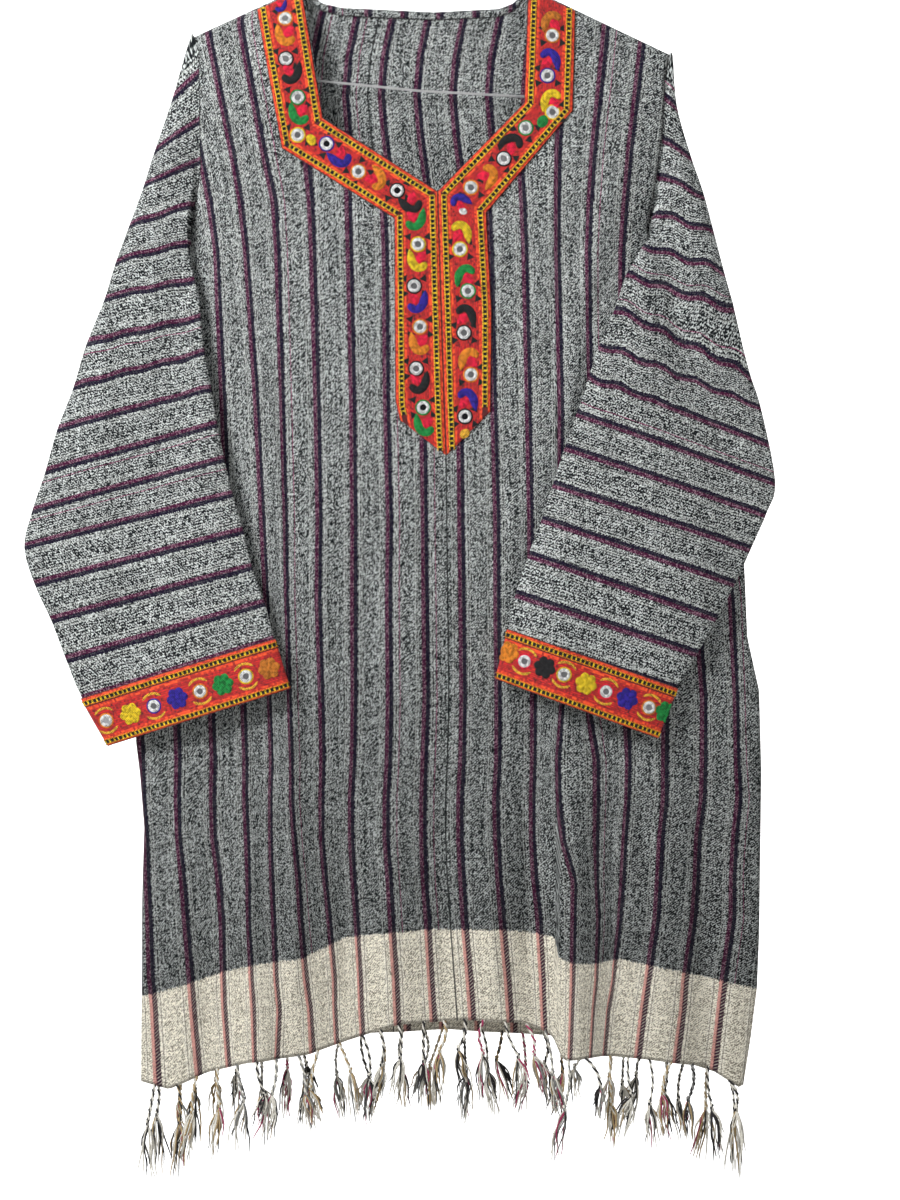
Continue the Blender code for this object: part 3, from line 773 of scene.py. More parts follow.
def add_stripes(nodes, cloth):
    """Lays the stripes' warps over the twill, and returns the colour."""
    stripe = nodes.add(nodes.over(cloth.u, STRIPE_PITCH * MM), 0.5)
    cloth.across = nodes.centred(nodes.math("FRACT", stripe), STRIPE_PITCH)
    cloth.ragged = nodes.add(cloth.across, nodes.centred(cloth.speck, 0.6))
    cloth.plum = nodes.between(cloth.ragged, -4.9, -1.3, 0.5)
    navy = nodes.between(cloth.ragged, -1.3, 2.3, 0.5)
    light = nodes.lines(cloth.across, LIGHT_LINES, 0.3)
    cloth.line_up = nodes.times(light, nodes.scaled(cloth.speck, 0.7, 0.2))
    some_stripes = nodes.math("GREATER_THAN", nodes.chance(stripe, 3.5), 0.62)
    fine_plum = nodes.times(nodes.between(cloth.across, 8.0, 8.8, 0.3), some_stripes)

    ground = nodes.mix(cloth.weft_up, WARP_DARK, WEFT_LIGHT)
    ground = nodes.mix(cloth.line_up, ground, LINE_LIGHT)
    ground = nodes.mix(nodes.times(fine_plum, cloth.speck), ground, FINE_PLUM)
    bright = nodes.times(nodes.math("GREATER_THAN", cloth.speck, 0.76), 0.6)
    plum_up = nodes.times(cloth.plum, nodes.minus(1.0, nodes.times(cloth.weft_up, 0.12)))
    navy_up = nodes.times(navy, nodes.minus(1.0, nodes.times(cloth.weft_up, 0.08)))
    return nodes.mix(navy_up, nodes.mix(plum_up, ground, nodes.mix(bright, PLUM, PLUM_SPECK)), NAVY)


# %% The natural band at the hem
NATURAL_WEFT = (0.88, 0.83, 0.70)
NATURAL_WARP = (0.20, 0.18, 0.14)
NATURAL_LINE = (0.88, 0.85, 0.76)
DARK_LINE = (0.10, 0.09, 0.08)
DARK_LINES = ((4.5, 5.2), (-9.4, -8.7))
PINK_IN_BAND = (0.62, 0.22, 0.20)
NAVY_IN_BAND = (0.035, 0.010, 0.025)
ROLLED_DARK = (0.06, 0.05, 0.045)


def add_band(nodes, cloth, body):
    """Turns the weft natural up to the band's top, and draws the hem's thin rolled edge."""
    edge = nodes.add(cloth.v, nodes.centred(cloth.warp_speck, 0.0022))
    cloth.in_band = nodes.math("LESS_THAN", edge, BAND_HEIGHT * MM)
    natural_up = nodes.scaled(cloth.shown, 0.80, 0.70, clamp=True)
    natural = nodes.mix(natural_up, NATURAL_WARP, NATURAL_WEFT)
    natural = nodes.mix(nodes.times(cloth.line_up, 0.8), natural, NATURAL_LINE)
    beside = nodes.lines(cloth.across, DARK_LINES, 0.3)
    natural = nodes.mix(nodes.times(beside, nodes.scaled(cloth.speck, 0.5, 0.3)), natural, DARK_LINE)
    pink_up = nodes.times(cloth.plum, nodes.scaled(natural_up, 0.4, 0.45))
    natural = nodes.mix(pink_up, natural, PINK_IN_BAND)
    hatch = nodes.math("SINE", nodes.times(cloth.slant, math.pi / 2.6))
    hatch = nodes.add(nodes.times(hatch, 0.9), nodes.times(cloth.speck, 0.5))
    hatch = nodes.scaled(hatch, 0.45, 0.80, clamp=True)
    navy_up = nodes.times(nodes.between(cloth.ragged, -2.4, 2.2, 0.6), hatch)
    natural = nodes.mix(navy_up, natural, NAVY_IN_BAND)
    rolled = nodes.between(cloth.v, 0.0006, 0.0026, 0.0008)
    rolled = nodes.times(rolled, nodes.scaled(cloth.speck, 0.7, -0.05, clamp=True))
    return nodes.mix(rolled, nodes.mix(cloth.in_band, body, natural), ROLLED_DARK)


# %% Striped handloom cotton
SEAM_DARK = (0.01, 0.01, 0.012)
SEAM_HALF_WIDTH = 0.0007
# Height above the band, in metres, over which the painted shade on the lower skirt fades out
SKIRT_SHADE_HEIGHT = 0.5


def striped_cotton(name, has_band=True, has_seam=True, streaks=1.5, twill=0.45, rows=0.0):
    """The weave's colours and relief from the map "weave": u across the stripes, v along them, in metres."""
    material = plain_material(name, (0.2, 0.2, 0.2), 0.92)
    nodes = Nodes(material)
    cloth = weave_threads(nodes, streaks, twill, rows)
    body = add_stripes(nodes, cloth)
    if has_band:
        body = add_band(nodes, cloth, body)
    if has_seam:
        off_seam = nodes.math("ABSOLUTE", nodes.minus(cloth.u, SEAM_STRIPE * STRIPE_PITCH * MM))
        seam = nodes.times(nodes.math("LESS_THAN", off_seam, SEAM_HALF_WIDTH), 0.85)
        body = nodes.mix(seam, body, SEAM_DARK)

    # Level: thick and thin wefts, broad blotches, and painted shade that darkens the skirt's ground towards
    # the band, where less light falls
    level = nodes.times(cloth.slub, cloth.blotch)
    if has_band:
        height = nodes.over(nodes.minus(cloth.v, BAND_HEIGHT * MM), SKIRT_SHADE_HEIGHT, clamp=True)
        painted_skirt_shade = nodes.math("MAXIMUM", nodes.scaled(height, 0.48, 0.52), cloth.in_band)
        level = nodes.times(level, painted_skirt_shade, clamp=True)
    colour = nodes.mix(1.0, body, nodes.grey(level), "MULTIPLY")
    nodes.shade(Base_Color=colour, Sheen_Weight=0.04, Specular_IOR_Level=0.15)
    nodes.bump(nodes.add(cloth.weft_up, nodes.times(cloth.slub, 0.6)), 0.0003, 0.7)
    print(name, len(nodes.tree.nodes), "nodes")
    return material


cotton = striped_cotton("striped_cotton_body")
sleeve_cotton = striped_cotton(
    "striped_cotton_sleeves", has_band=False, has_seam=False, streaks=1.1, twill=0.3, rows=0.4,
)

# %% Front panel
bm = fine_panel(SHOULDER_LINE, FRONT_HEM, front_depth)
bmesh.ops.delete(bm, geom=faces_within(bm, FRONT_NECK), context="FACES")
map_weave(bm, front_stripe, FRONT_HEM, BAND_TOP)
front = new_piece("front_cloth", bm, [cotton])
thicken(front, CLOTH)
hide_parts("front_panel")

# %% Back panel
BACK_BAND_DEPTH = 88
back_band_top = [(x, drop - BACK_BAND_DEPTH) for x, drop in BACK_HEM]
bm = fine_panel(BACK_NECKLINE, BACK_HEM, back_depth)
bmesh.ops.reverse_faces(bm, faces=bm.faces)
map_weave(bm, back_stripe, BACK_HEM, back_band_top)
back = new_piece("back_cloth", bm, [cotton])
thicken(back, CLOTH)
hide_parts("back_panel")

# %% [markdown]
# ## Sleeves
#
# The sleeves were cut across the loom, so their stripes run round the arm. Each is a tube lofted through
# rings from the armhole to the cuff. The rings were measured at the stripes, which lie at even steps down the
# sleeve, and a smooth curve through them makes them finer, so the tube has no corners.

# %% Rings of a sleeve
RING_POINTS = 44
RINGS_BETWEEN = 5
FRONT_INNER = 1 / 30
BACK_INNER = 1 / 22


def front_out(x, drop):
    return -front_stand_off(x, drop)


def armhole_edge(top_line, hem_line, depth, at_right, inwards, steps):
    """The panel's own edge points from the shoulder end down to the underarm, and the way out from each."""
    shares = (1, 1 - inwards) if at_right else (0, inwards)
    points = []
    for step in range(steps + 1):
        row = SKIRT_ROWS + ARMHOLE_ROWS * (1 - step / steps)
        edge, inner = [panel_point(share, row, top_line, hem_line) for share in shares]
        edge = Vector((edge[0], depth(*edge), edge[1]))
        inner = Vector((inner[0], depth(*inner), inner[1]))
        points.append((edge, (edge - inner).normalized()))
    return points


def sleeve_rings(table, at_right):
    """Rings of points: the front half from outer to inner fold, then the back half the other way."""
    steps = RING_POINTS // 2
    front_edge = armhole_edge(SHOULDER_LINE, FRONT_HEM, front_out, at_right, FRONT_INNER, steps)
    back_edge = armhole_edge(BACK_NECKLINE, BACK_HEM, back_stand_off, at_right, BACK_INNER, steps)
    top_x = front_edge[0][0].x
    low_x = front_edge[-1][0].x
    rings = []
    for reach in (SEAM_GAP, SEAM_ALLOWANCE):
        rings.append([place(*(edge + way * reach)) for edge, way in front_edge + back_edge[::-1]])
    for outer_x, outer_drop, inner_x, inner_drop, half_depth, forward, curve in table:
        halves = ([], [])
        for step in range(steps + 1):
            even = step / steps
            rounded = (1 - math.cos(math.pi * even)) / 2
            across_ring = even + (rounded - even) * (1 - curve) * 0.7
            bow = curve * (front_edge[step][0].x - (top_x + (low_x - top_x) * even))
            x = outer_x + (inner_x - outer_x) * across_ring + bow
            drop = outer_drop + (inner_drop - outer_drop) * across_ring
            lead = forward + (1 - forward) * 0.75 * ease(2.2 * across_ring - 1.2)
            middle = -lead * (front_stand_off(x, drop) + SLEEVE_CLEARANCE + half_depth)
            swell = SEAM_HALF + (half_depth - SEAM_HALF) * (1 - abs(2 * across_ring - 1) ** 3)
            for half, way in zip(halves, (-1, 1)):
                half.append(place(x, middle + way * swell, drop))
        rings.append(halves[0] + halves[1][::-1])
    return rings


# %% A smooth curve through points
def smooth_point(before, start, end, after, t):
    """A point between start and end, on the curve that passes through all four."""
    bend = 2 * before - 5 * start + 4 * end - after
    twist = 3 * start - before - 3 * end + after
    return 0.5 * (2 * start + (end - before) * t + bend * t**2 + twist * t**3)


def between_rings(rings, count):
    """The same rings with count - 1 more between each two."""
    fine = []
    for index in range(len(rings) - 1):
        before = rings[max(index - 1, 0)]
        after = rings[min(index + 2, len(rings) - 1)]
        for step in range(count):
            around = zip(before, rings[index], rings[index + 1], after)
            fine.append([smooth_point(*points, step / count) for points in around])
    fine.append(rings[-1])
    return fine


# %% A tube through rings
def tube_of(rings):
    """The rings bridged one by one, with their faces pointing out."""
    bm = bmesh.new()
    loops = []
    for ring in rings:
        verts = [bm.verts.new(point) for point in ring]
        loops.append([bm.edges.new(pair) for pair in zip(verts, verts[1:] + verts[:1])])
    for upper, lower in zip(loops, loops[1:]):
        bmesh.ops.bridge_loops(bm, edges=upper + lower)
    bmesh.ops.recalc_face_normals(bm, faces=bm.faces)
    bm.normal_update()
    middle = sum((vert.co for vert in bm.verts), Vector()) / len(bm.verts)
    if sum((face.calc_center_median() - middle).y * face.normal.y for face in bm.faces) < 0:
        bmesh.ops.reverse_faces(bm, faces=bm.faces)
    return bm


# %% Where the sleeves' stripes pass: outer x, outer drop, inner x, inner drop
LEFT_SLEEVE_STRIPES = [
    (-245, 155, -221, 139), (-255, 188, -218, 171), (-268, 226, -213, 207), (-280, 259, -209, 241),
    (-290, 293, -205, 276), (-307, 335, -201, 312), (-319, 375, -197, 344), (-334, 414, -191, 377),
    (-345, 453, -185, 410), (-357, 489, -178, 442), (-364, 522, -170, 474), (-354, 557, -160, 508),
    (-339, 590, -152, 541), (-325, 627, -140, 574),
]
RIGHT_SLEEVE_STRIPES = [
    (252, 159, 228, 142), (265, 196, 218, 172), (273, 229, 209, 207), (282, 265, 201, 240),
    (289, 298, 191, 270), (306, 362, 181, 302), (317, 391, 167, 335), (311, 420, 157, 364),
    (330, 461, 146, 398), (322, 490, 135, 429), (308, 522, 124, 463), (293, 554, 114, 495),
    (276, 586, 102, 527), (257, 618, 90, 563),
]
# Where the cloth is rumpled at the elbow, its stripes waver a little
RUMPLED_DROP = 285
RUMPLED_REACH = 40
WAVER_LEFT = 0.8
WAVER_RIGHT = 2.2
SHOULDER_LIMIT = 0.55


def sleeve_stripe(x, drop, stripes):
    """The number of the stripe at a point of a sleeve, by its distance from the two nearest."""
    offs = []
    rumpled = ease(3 - abs(drop - RUMPLED_DROP) / RUMPLED_REACH)
    drop = drop + (WAVER_RIGHT if x > 0 else WAVER_LEFT) * math.sin(x / 5.6 + drop / 60) * rumpled
    for outer_x, outer_drop, inner_x, inner_drop in stripes:
        run, fall = inner_x - outer_x, inner_drop - outer_drop
        way = math.copysign(1, run) / math.hypot(run, fall)
        offs.append(((drop - outer_drop) * run - (x - outer_x) * fall) * way)
    index = sum(1 for off in offs if off > 0) - 1
    index = min(max(index, 0), len(offs) - 2)
    number = index + offs[index] / (offs[index] - offs[index + 1])
    return number if number > -1 else -1 + SHOULDER_LIMIT * math.tanh((number + 1) / SHOULDER_LIMIT)


def map_sleeve(bm, rings, stripes, downwards):
    """Writes the weave's map: u runs down the sleeve by its stripes, v round the arm."""
    weave = bm.loops.layers.uv.new("weave")
    middle_x = sum(point.x for ring in rings for point in ring) / sum(len(ring) for ring in rings)
    for vert in bm.verts:
        x = vert.co.x / MM
        drop = -vert.co.z / MM - NECK_POINT_BELOW_HOOK
        index = sleeve_stripe(x, drop, stripes)
        number = index if downwards else len(stripes) - 1 - index
        for loop in vert.link_loops:
            loop[weave].uv = (number * STRIPE_PITCH * MM, vert.co.x - middle_x)


# %% Creases of the sleeves: long soft folds down the arm and short ones across it
SLEEVE_CREASES = {
    "left": [
        (-238, 150, -300, 360, 15, 1.3), (-214, 190, -236, 400, 12, -1.2), (-205, 260, -182, 470, 13, 1.3),
        (-352, 470, -250, 440, 9, 1.0), (-360, 520, -270, 500, 8, -1.0), (-330, 440, -215, 400, 9, -0.9),
        (-300, 560, -210, 530, 9, 1.0), (-250, 470, -168, 440, 8, 0.9), (-320, 600, -190, 560, 8, -0.8),
        (-262, 250, -210, 238, 7, 0.8),
    ],
    "right": [
        (236, 150, 300, 340, 14, 1.3), (222, 200, 246, 360, 10, -1.3), (206, 240, 232, 330, 8, 1.2),
        (250, 205, 275, 300, 7, 1.1), (232, 215, 252, 290, 6, -1.1), (212, 255, 300, 300, 8, 1.0),
        (188, 290, 290, 340, 8, -1.0), (330, 470, 220, 430, 9, 1.1), (322, 510, 200, 470, 9, -1.0),
        (290, 560, 160, 500, 9, 1.0), (250, 590, 150, 550, 8, -0.8),
    ],
}
LOWER_BEHIND = 18
SLEEVE_CREASE_SHARE = 0.8


def crease_sleeve(bm, creases):
    """Moves the sleeve's cloth in or out along the creases; the back has the same folds, a little lower."""
    bm.normal_update()
    moves = []
    for vert in bm.verts:
        lower = 0 if vert.normal.y < 0 else LOWER_BEHIND
        depth = crease_depth(vert.co.x / MM, -vert.co.z / MM - NECK_POINT_BELOW_HOOK - lower, creases)
        moves.append(vert.normal * depth * abs(vert.normal.y) * SLEEVE_CREASE_SHARE * MM)
    for vert, move in zip(bm.verts, moves):
        vert.co += move


# %% Both sleeves
SLEEVES = {}
for side, table, stripes in (
    ("left", LEFT_SLEEVE, LEFT_SLEEVE_STRIPES),
    ("right", RIGHT_SLEEVE, RIGHT_SLEEVE_STRIPES),
):
    rings = between_rings(sleeve_rings(table, side == "right"), RINGS_BETWEEN)
    bm = tube_of(rings)
    map_sleeve(bm, rings, stripes, side == "left")
    crease_sleeve(bm, SLEEVE_CREASES[side])
    sleeve = new_piece("sleeve_cloth_" + side, bm, [sleeve_cotton])
    thicken(sleeve, SLEEVE_CLOTH, even=False)
    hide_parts("sleeve_" + side)
    SLEEVES[side] = (sleeve, rings)


# %% [markdown]
# ## Braid
#
# The braid is a bought trim: red tape about 40 mm wide, worked in chain stitch with paisleys and small
# mirrors, sewn round the neck, down the placket and round the cuffs. Each strip is a grid laid between its
# two long edges, so its map runs along the tape, and it lies on the cloth's own surface a little way out.

# %% The neck braid's strips: left and right edge, as points (x, drop)
NECK_BRAIDS = {
    "braid_shoulder_left": ([(-150, 22), (-126, 153)], [(-108.5, 2.5), (-88, 125)]),
    "braid_diagonal_left": ([(-126, 153), (-22, 218)], [(-88, 125), (18, 193)]),
    "braid_placket_left": ([(-22, 218), (-21, 386), (-17, 404)], [(18, 193), (24, 385), (26, 437)]),
    "braid_placket_right": ([(18, 193), (24, 385), (26, 437)], [(63, 213), (68, 304), (67, 396)]),
    "braid_diagonal_right": ([(98, 111), (18, 193)], [(143, 118), (63, 213)]),
    "braid_shoulder_right": ([(102, 2), (98, 111)], [(146, 23), (143, 118)]),
}
BRAID_LIFT = SEAM_GAP + BRAID_THICKNESS
NECK_BRAID_CELLS = 16
BRAID_CELL = 2.6


def on_line(points, share):
    """A point at a share of a line's length, and that length."""
    lengths = [math.dist(a, b) for a, b in zip(points, points[1:])]
    left = share * sum(lengths)
    for (a, b), length in zip(zip(points, points[1:]), lengths):
        if left <= length or (a, b) == (points[-2], points[-1]):
            part = left / length
            return a[0] + (b[0] - a[0]) * part, a[1] + (b[1] - a[1]) * part
        left -= length


def line_length(points):
    return sum(math.dist(a, b) for a, b in zip(points, points[1:]))


def braid_strip(left_line, right_line, depth):
    """A strip laid between two lines on the cloth, with its map in metres along and across the tape."""
    length = (line_length(left_line) + line_length(right_line)) / 2
    rows = max(int(length / BRAID_CELL), 4)
    bm = bmesh.new()
    bmesh.ops.create_grid(bm, x_segments=NECK_BRAID_CELLS, y_segments=rows, size=0.5)
    tape = bm.loops.layers.uv.new("tape")
    for vert in bm.verts:
        over, down = vert.co.x + 0.5, vert.co.y + 0.5
        a = on_line(left_line, down)
        b = on_line(right_line, down)
        x = a[0] + (b[0] - a[0]) * over
        drop = a[1] + (b[1] - a[1]) * over
        vert.co = place(x, depth(x, drop), drop)
        for loop in vert.link_loops:
            loop[tape].uv = (over, down * length * MM)
    bmesh.ops.recalc_face_normals(bm, faces=bm.faces)
    if sum(face.normal.y for face in bm.faces) > 0:
        bmesh.ops.reverse_faces(bm, faces=bm.faces)
    return bm


def braid_depth(x, drop):
    return front_depth(x, drop) - BRAID_LIFT


# %% Red tape's material
TAPE_WIDTH = 42.0
STITCH_ROW = 1.5
STITCH_LENGTH = 0.0016
STITCH_SHADE_LENGTH = 0.0019
ORANGE_LINES = ((18.2, 22.0), (10.4, 12.9))
LADDER_GROUND = (13.0, 18.2)
OUTER_EDGE = (20.3, 22.0)


def red_tape(name):
    """Rows of red stitches from the map "tape": across the tape from 0 to 1, and along it in metres."""
    material = plain_material(name, (0.6, 0.02, 0.015), 0.78)
    nodes = Nodes(material)
    over, down = nodes.split(nodes.uv_map("tape"))[:2]
    over_mm = nodes.times(over, TAPE_WIDTH)
    from_middle = nodes.math("ABSOLUTE", nodes.minus(over_mm, TAPE_WIDTH / 2))
    rows = nodes.over(over_mm, STITCH_ROW)
    row = nodes.math("FRACT", rows)
    stitch = nodes.math("FRACT", nodes.over(down, STITCH_LENGTH))
    speck = nodes.chance(rows, nodes.over(down, STITCH_SHADE_LENGTH))
    spot = nodes.object_place()

    # Ground: rows of stitches with dark gaps between them, and darker worn patches
    field = nodes.mix(nodes.noise(spot, 160), (0.58, 0.007, 0.010), (0.86, 0.030, 0.020))
    sunk = nodes.times(nodes.between(row, 0.0, 0.30, 0.2), nodes.scaled(speck, 0.9, 0.15))
    field = nodes.mix(sunk, field, (0.10, 0.003, 0.008))
    worn = nodes.times(nodes.minus(nodes.noise(spot, 380), 0.52), 6.0, clamp=True)
    field = nodes.mix(worn, field, (0.16, 0.004, 0.010))

    # Edges: orange lines, the black ground of the chain ladder, and a dark outer edge
    orange = nodes.mix(speck, (0.80, 0.02, 0.012), (0.92, 0.10, 0.02))
    colour = nodes.mix(nodes.lines(from_middle, ORANGE_LINES, 0.5), field, orange)
    dark_ground = nodes.times(nodes.between(from_middle, *LADDER_GROUND, 0.5), 0.85)
    colour = nodes.mix(dark_ground, colour, (0.05, 0.006, 0.008))
    dark_edge = nodes.times(nodes.between(from_middle, *OUTER_EDGE, 0.4), 0.85)
    colour = nodes.mix(dark_edge, colour, (0.03, 0.004, 0.006))
    level = nodes.grey(nodes.scaled(speck, 0.85, 0.42, clamp=True))
    nodes.shade(Base_Color=nodes.mix(1.0, colour, level, "MULTIPLY"), Sheen_Weight=0.1)
    ridges = nodes.math("SINE", nodes.times(row, math.pi))
    loops = nodes.math("SINE", nodes.times(stitch, math.pi))
    nodes.bump(nodes.add(ridges, nodes.times(loops, 0.6)), 0.0004, 0.6)
    return material


tape_red = red_tape("red_tape")
print("red tape ready")

# %% Neck strips
for name, (left_line, right_line) in NECK_BRAIDS.items():
    bm = braid_strip(left_line, right_line, braid_depth)
    strip = new_piece(name.replace("braid", "tape"), bm, [tape_red])
    thicken(strip, BRAID_THICKNESS)
    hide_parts(name)


# %% Cuff tapes, round the ends of the sleeves
ALONG_HALF_CUFF = 0.2
CUFF_TREES = {}
CUFF_ROWS = {}
CUFF_PIECES = {}
for side in ("left", "right"):
    rings = SLEEVES[side][1][-RINGS_BETWEEN - 1 :]
    bm = tube_of(rings)
    tape = bm.loops.layers.uv.new("tape")
    bm.normal_update()
    for vert in bm.verts:
        vert.co += vert.normal * BRAID_LIFT * MM
    bm.verts.ensure_lookup_table()
    count = len(rings[0])
    for index, vert in enumerate(bm.verts):
        down = (index // count) / RINGS_BETWEEN
        round_it = (index % count) / (count / 2) * ALONG_HALF_CUFF
        for loop in vert.link_loops:
            loop[tape].uv = (down, round_it)
    CUFF_TREES[side] = BVHTree.FromBMesh(bm)
    bm.normal_update()
    corners = [(vert.co.copy(), vert.normal.copy()) for vert in bm.verts]
    CUFF_ROWS[side] = [corners[start : start + count] for start in range(0, len(corners), count)]
    cuff = new_piece("tape_cuff_" + side, bm, [tape_red])
    thicken(cuff, BRAID_THICKNESS, even=False)
    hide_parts("cuff_braid_" + side)
    CUFF_PIECES[side] = [cuff]


# %% [markdown]
# ## Fringe
#
# Where weaving ends, the warp is left uncut: a few dozen threads at a time are twisted into a two-ply cord,
# knotted, and left loose below the knot. Each tassel here is drawn down by extruding small faces: two plies
# that wind round each other, a knot, and a spray of loose ends, every one a little different.


# %% Thread colours of the fringe
def thread_material(name, colour):
    material = plain_material(name, colour, 0.9)
    nodes = Nodes(material)
    grain = nodes.noise(nodes.object_place(), 900)
    dark = tuple(value * 0.45 for value in colour)
    nodes.shade(Base_Color=nodes.mix(nodes.times(grain, 1.2, clamp=True), dark, colour))
    nodes.bump(grain, 0.0003, 0.5)
    return material


FRINGE_COLOURS = {
    "thread_white": (0.90, 0.87, 0.78),
    "thread_black": (0.028, 0.026, 0.028),
    "thread_grey": (0.27, 0.27, 0.26),
    "thread_tan": (0.52, 0.38, 0.20),
    "thread_plum": (0.45, 0.05, 0.14),
}
fringe_materials = [thread_material(name, colour) for name, colour in FRINGE_COLOURS.items()]
WHITE, BLACK, GREY, TAN, PLUM_THREAD = range(5)
# Which two plies a cord has, and how often
PLIES = [
    (WHITE, BLACK, 8), (GREY, BLACK, 2), (WHITE, TAN, 4), (WHITE, GREY, 4), (TAN, BLACK, 2),
    (PLUM_THREAD, WHITE, 1),
]
TAIL_MIX = [WHITE] * 5 + [GREY, BLACK, BLACK, TAN, TAN, PLUM_THREAD]
print("threads:", ", ".join(FRINGE_COLOURS))


# %% A strand drawn through points
def drawn_strand(bm, points, widths, material, sides=4):
    """A small disc drawn from point to point, its sides left behind it."""
    disc = bmesh.ops.create_circle(bm, cap_ends=True, segments=sides, radius=1.0)
    face = disc["verts"][0].link_faces[0]
    face.material_index = material
    centre = Vector(points[0])
    way = (Vector(points[1]) - centre).normalized()
    across_x = way.orthogonal().normalized()
    across_y = way.cross(across_x)
    turns = [2 * math.pi * corner / sides for corner in range(sides)]

    def set_ring(ring, at, width):
        for vert, turn in zip(ring, turns):
            vert.co = at + (across_x * math.cos(turn) + across_y * math.sin(turn)) * width / 2

    set_ring(disc["verts"], centre, widths[0])
    for point, width in zip(points[1:], widths[1:]):
        face = bmesh.ops.extrude_discrete_faces(bm, faces=[face])["faces"][0]
        set_ring(list(face.verts), Vector(point), width)


# %% One tassel: a twisted cord, a knot and a spray of loose ends
KNOT_HEIGHTS = ((2.6, 0.6), (1.2, 1.0), (-0.8, -0.8), (-2.6, -0.3))
KNOT_WIDTHS = (1.8, 3.0, 3.2, 2.0)
TAIL_WIDTHS = (1.2, 1.8, 1.9, 1.8, 1.7, 1.5, 1.2, 0.3)
CORD_STEPS = 12
CORD_TURN = 9


def line_down(root, lean, length, bow, steps):
    """Points from the root down, leaning and bowing to one side."""
    points = []
    for step in range(steps + 1):
        share = step / steps
        sway = (lean[0] * share + bow * math.sin(math.pi * share), lean[1] * share, -length * share)
        points.append(root + Vector(sway) * MM)
    return points


def twisted_cord(bm, line, ply_width, plies, turns, rng):
    """Two strands that wind round each other along a line of points."""
    phase = rng.uniform(0, math.pi)
    for index, material in enumerate(plies):
        points = []
        for step, point in enumerate(line):
            turn = phase + index * math.pi + 2 * math.pi * turns * step / (len(line) - 1)
            points.append(point + Vector((math.cos(turn), math.sin(turn), 0)) * ply_width * 0.42 * MM)
        drawn_strand(bm, points, [ply_width * MM] * len(points), material, 5)


def loose_end(knot, drift, tail, rng):
    """Points of one wavy end below the knot."""
    spread = (rng.gauss(drift, 3.8), rng.gauss(0, 2.2))
    length = tail * rng.uniform(0.45, 1.0)
    bulge = rng.uniform(0.6, 3.4)
    sway = rng.uniform(-1.6, 1.6)
    swing = rng.uniform(0, math.tau)
    points = []
    for step in range(len(TAIL_WIDTHS)):
        share = step / (len(TAIL_WIDTHS) - 1)
        out = math.sin(math.pi * min(share * 1.3, 1)) * bulge
        x = spread[0] * share + math.copysign(out, spread[0] - drift) + sway * math.sin(swing + share * 7)
        points.append(knot + Vector((x, spread[1] * share * 1.3, -2.0 - length * share)) * MM)
    return points


def draw_tassel(bm, root, side, longer, rng):
    """Two plies wound round each other, a knot of the same threads, and a clump of wavy loose ends."""
    cord = rng.uniform(24, 44)
    tail = rng.uniform(30, 52) * longer
    lean = (rng.gauss(0, 5.5), side * rng.uniform(1, 6))
    plies = rng.choices(PLIES, weights=[entry[2] for entry in PLIES])[0][:2]
    line = line_down(root, lean, cord, rng.uniform(-4, 4), CORD_STEPS)
    twisted_cord(bm, line, rng.uniform(1.9, 2.4), plies, cord / CORD_TURN, rng)
    knot = line[-1]
    for turn, material in zip((-0.7, 0.7), plies):
        knot_points = [knot + Vector((turn * out, 0, z)) * MM for z, out in KNOT_HEIGHTS]
        drawn_strand(bm, knot_points, [width * MM for width in KNOT_WIDTHS], material, 6)
    drift = rng.gauss(0, 5)
    for end in range(rng.randint(13, 18)):
        points = loose_end(knot, drift, tail, rng)
        material = rng.choice(plies) if end % 2 else rng.choice(TAIL_MIX)
        drawn_strand(bm, points, [width * MM for width in TAIL_WIDTHS], material, 3)


# %% Both fringes
TASSELS_PER_HEM = 29
FRONT_HEM_GAP = 1.4
BACK_HEM_GAP = 0.5
TUCKED_IN = 2.5
FRINGE_DROP = 1018
FRINGE_INSET = 4
HEM_STEPS = 60


def hem_edge(top_line, hem_line, depth):
    """Points along the hem: x, drop and how far the outer face stands off."""
    points = [panel_point(step / HEM_STEPS, 0, top_line, hem_line) for step in range(HEM_STEPS + 1)]
    return [(x, drop, abs(depth(x, drop))) for x, drop in points]


def make_fringe(name, node, hem, gap, side, seed):
    """A row of tassels along a hem, longer towards both ends, each drawn on its own and then joined."""
    rng = random.Random(seed)
    left = along(LEFT_SIDE, FRINGE_DROP) + FRINGE_INSET
    right = along(RIGHT_SIDE, FRINGE_DROP) - FRINGE_INSET
    pitch = (right - left) / TASSELS_PER_HEM
    bm = bmesh.new()
    for tassel in range(TASSELS_PER_HEM):
        x = left + (tassel + 0.5) * pitch + rng.uniform(-2.2, 2.2)
        root = place(x, side * (along(hem, x, 2) - CLOTH / 2), along(hem, x) + gap - TUCKED_IN)
        single = bmesh.new()
        to_end = min(tassel, TASSELS_PER_HEM - 1 - tassel)
        draw_tassel(single, root, side, 1 + 0.3 * ease(1 - to_end / 4), rng)
        drawn = bpy.data.meshes.new("tassel")
        single.to_mesh(drawn)
        single.free()
        bm.from_mesh(drawn)
        bpy.data.meshes.remove(drawn)
    fringe = new_piece(name, bm, fringe_materials)
    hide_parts(node)
    return fringe


front_hem = hem_edge(SHOULDER_LINE, FRONT_HEM, front_depth)
back_hem = hem_edge(BACK_NECKLINE, BACK_HEM, back_depth)
fringe_front = make_fringe("fringe_on_front", "fringe_front", front_hem, FRONT_HEM_GAP, -1, 11)
fringe_back = make_fringe("fringe_on_back", "fringe_back", back_hem, BACK_HEM_GAP, 1, 12)

# %% [markdown]
# ## Embroidery on the braid
#
# The braid's pictures are raised: a chain of loops over black thread near each long edge, paisley hooks in
# close chain stitch, and little mirrors, each held by a ring of white thread inside a coloured rim. On the
# real trim a machine works them flat. So each is made flat here, once, as a padded shape in its own
# millimetres with its height as z, and is then laid on the tape's surface where the trim shows it.

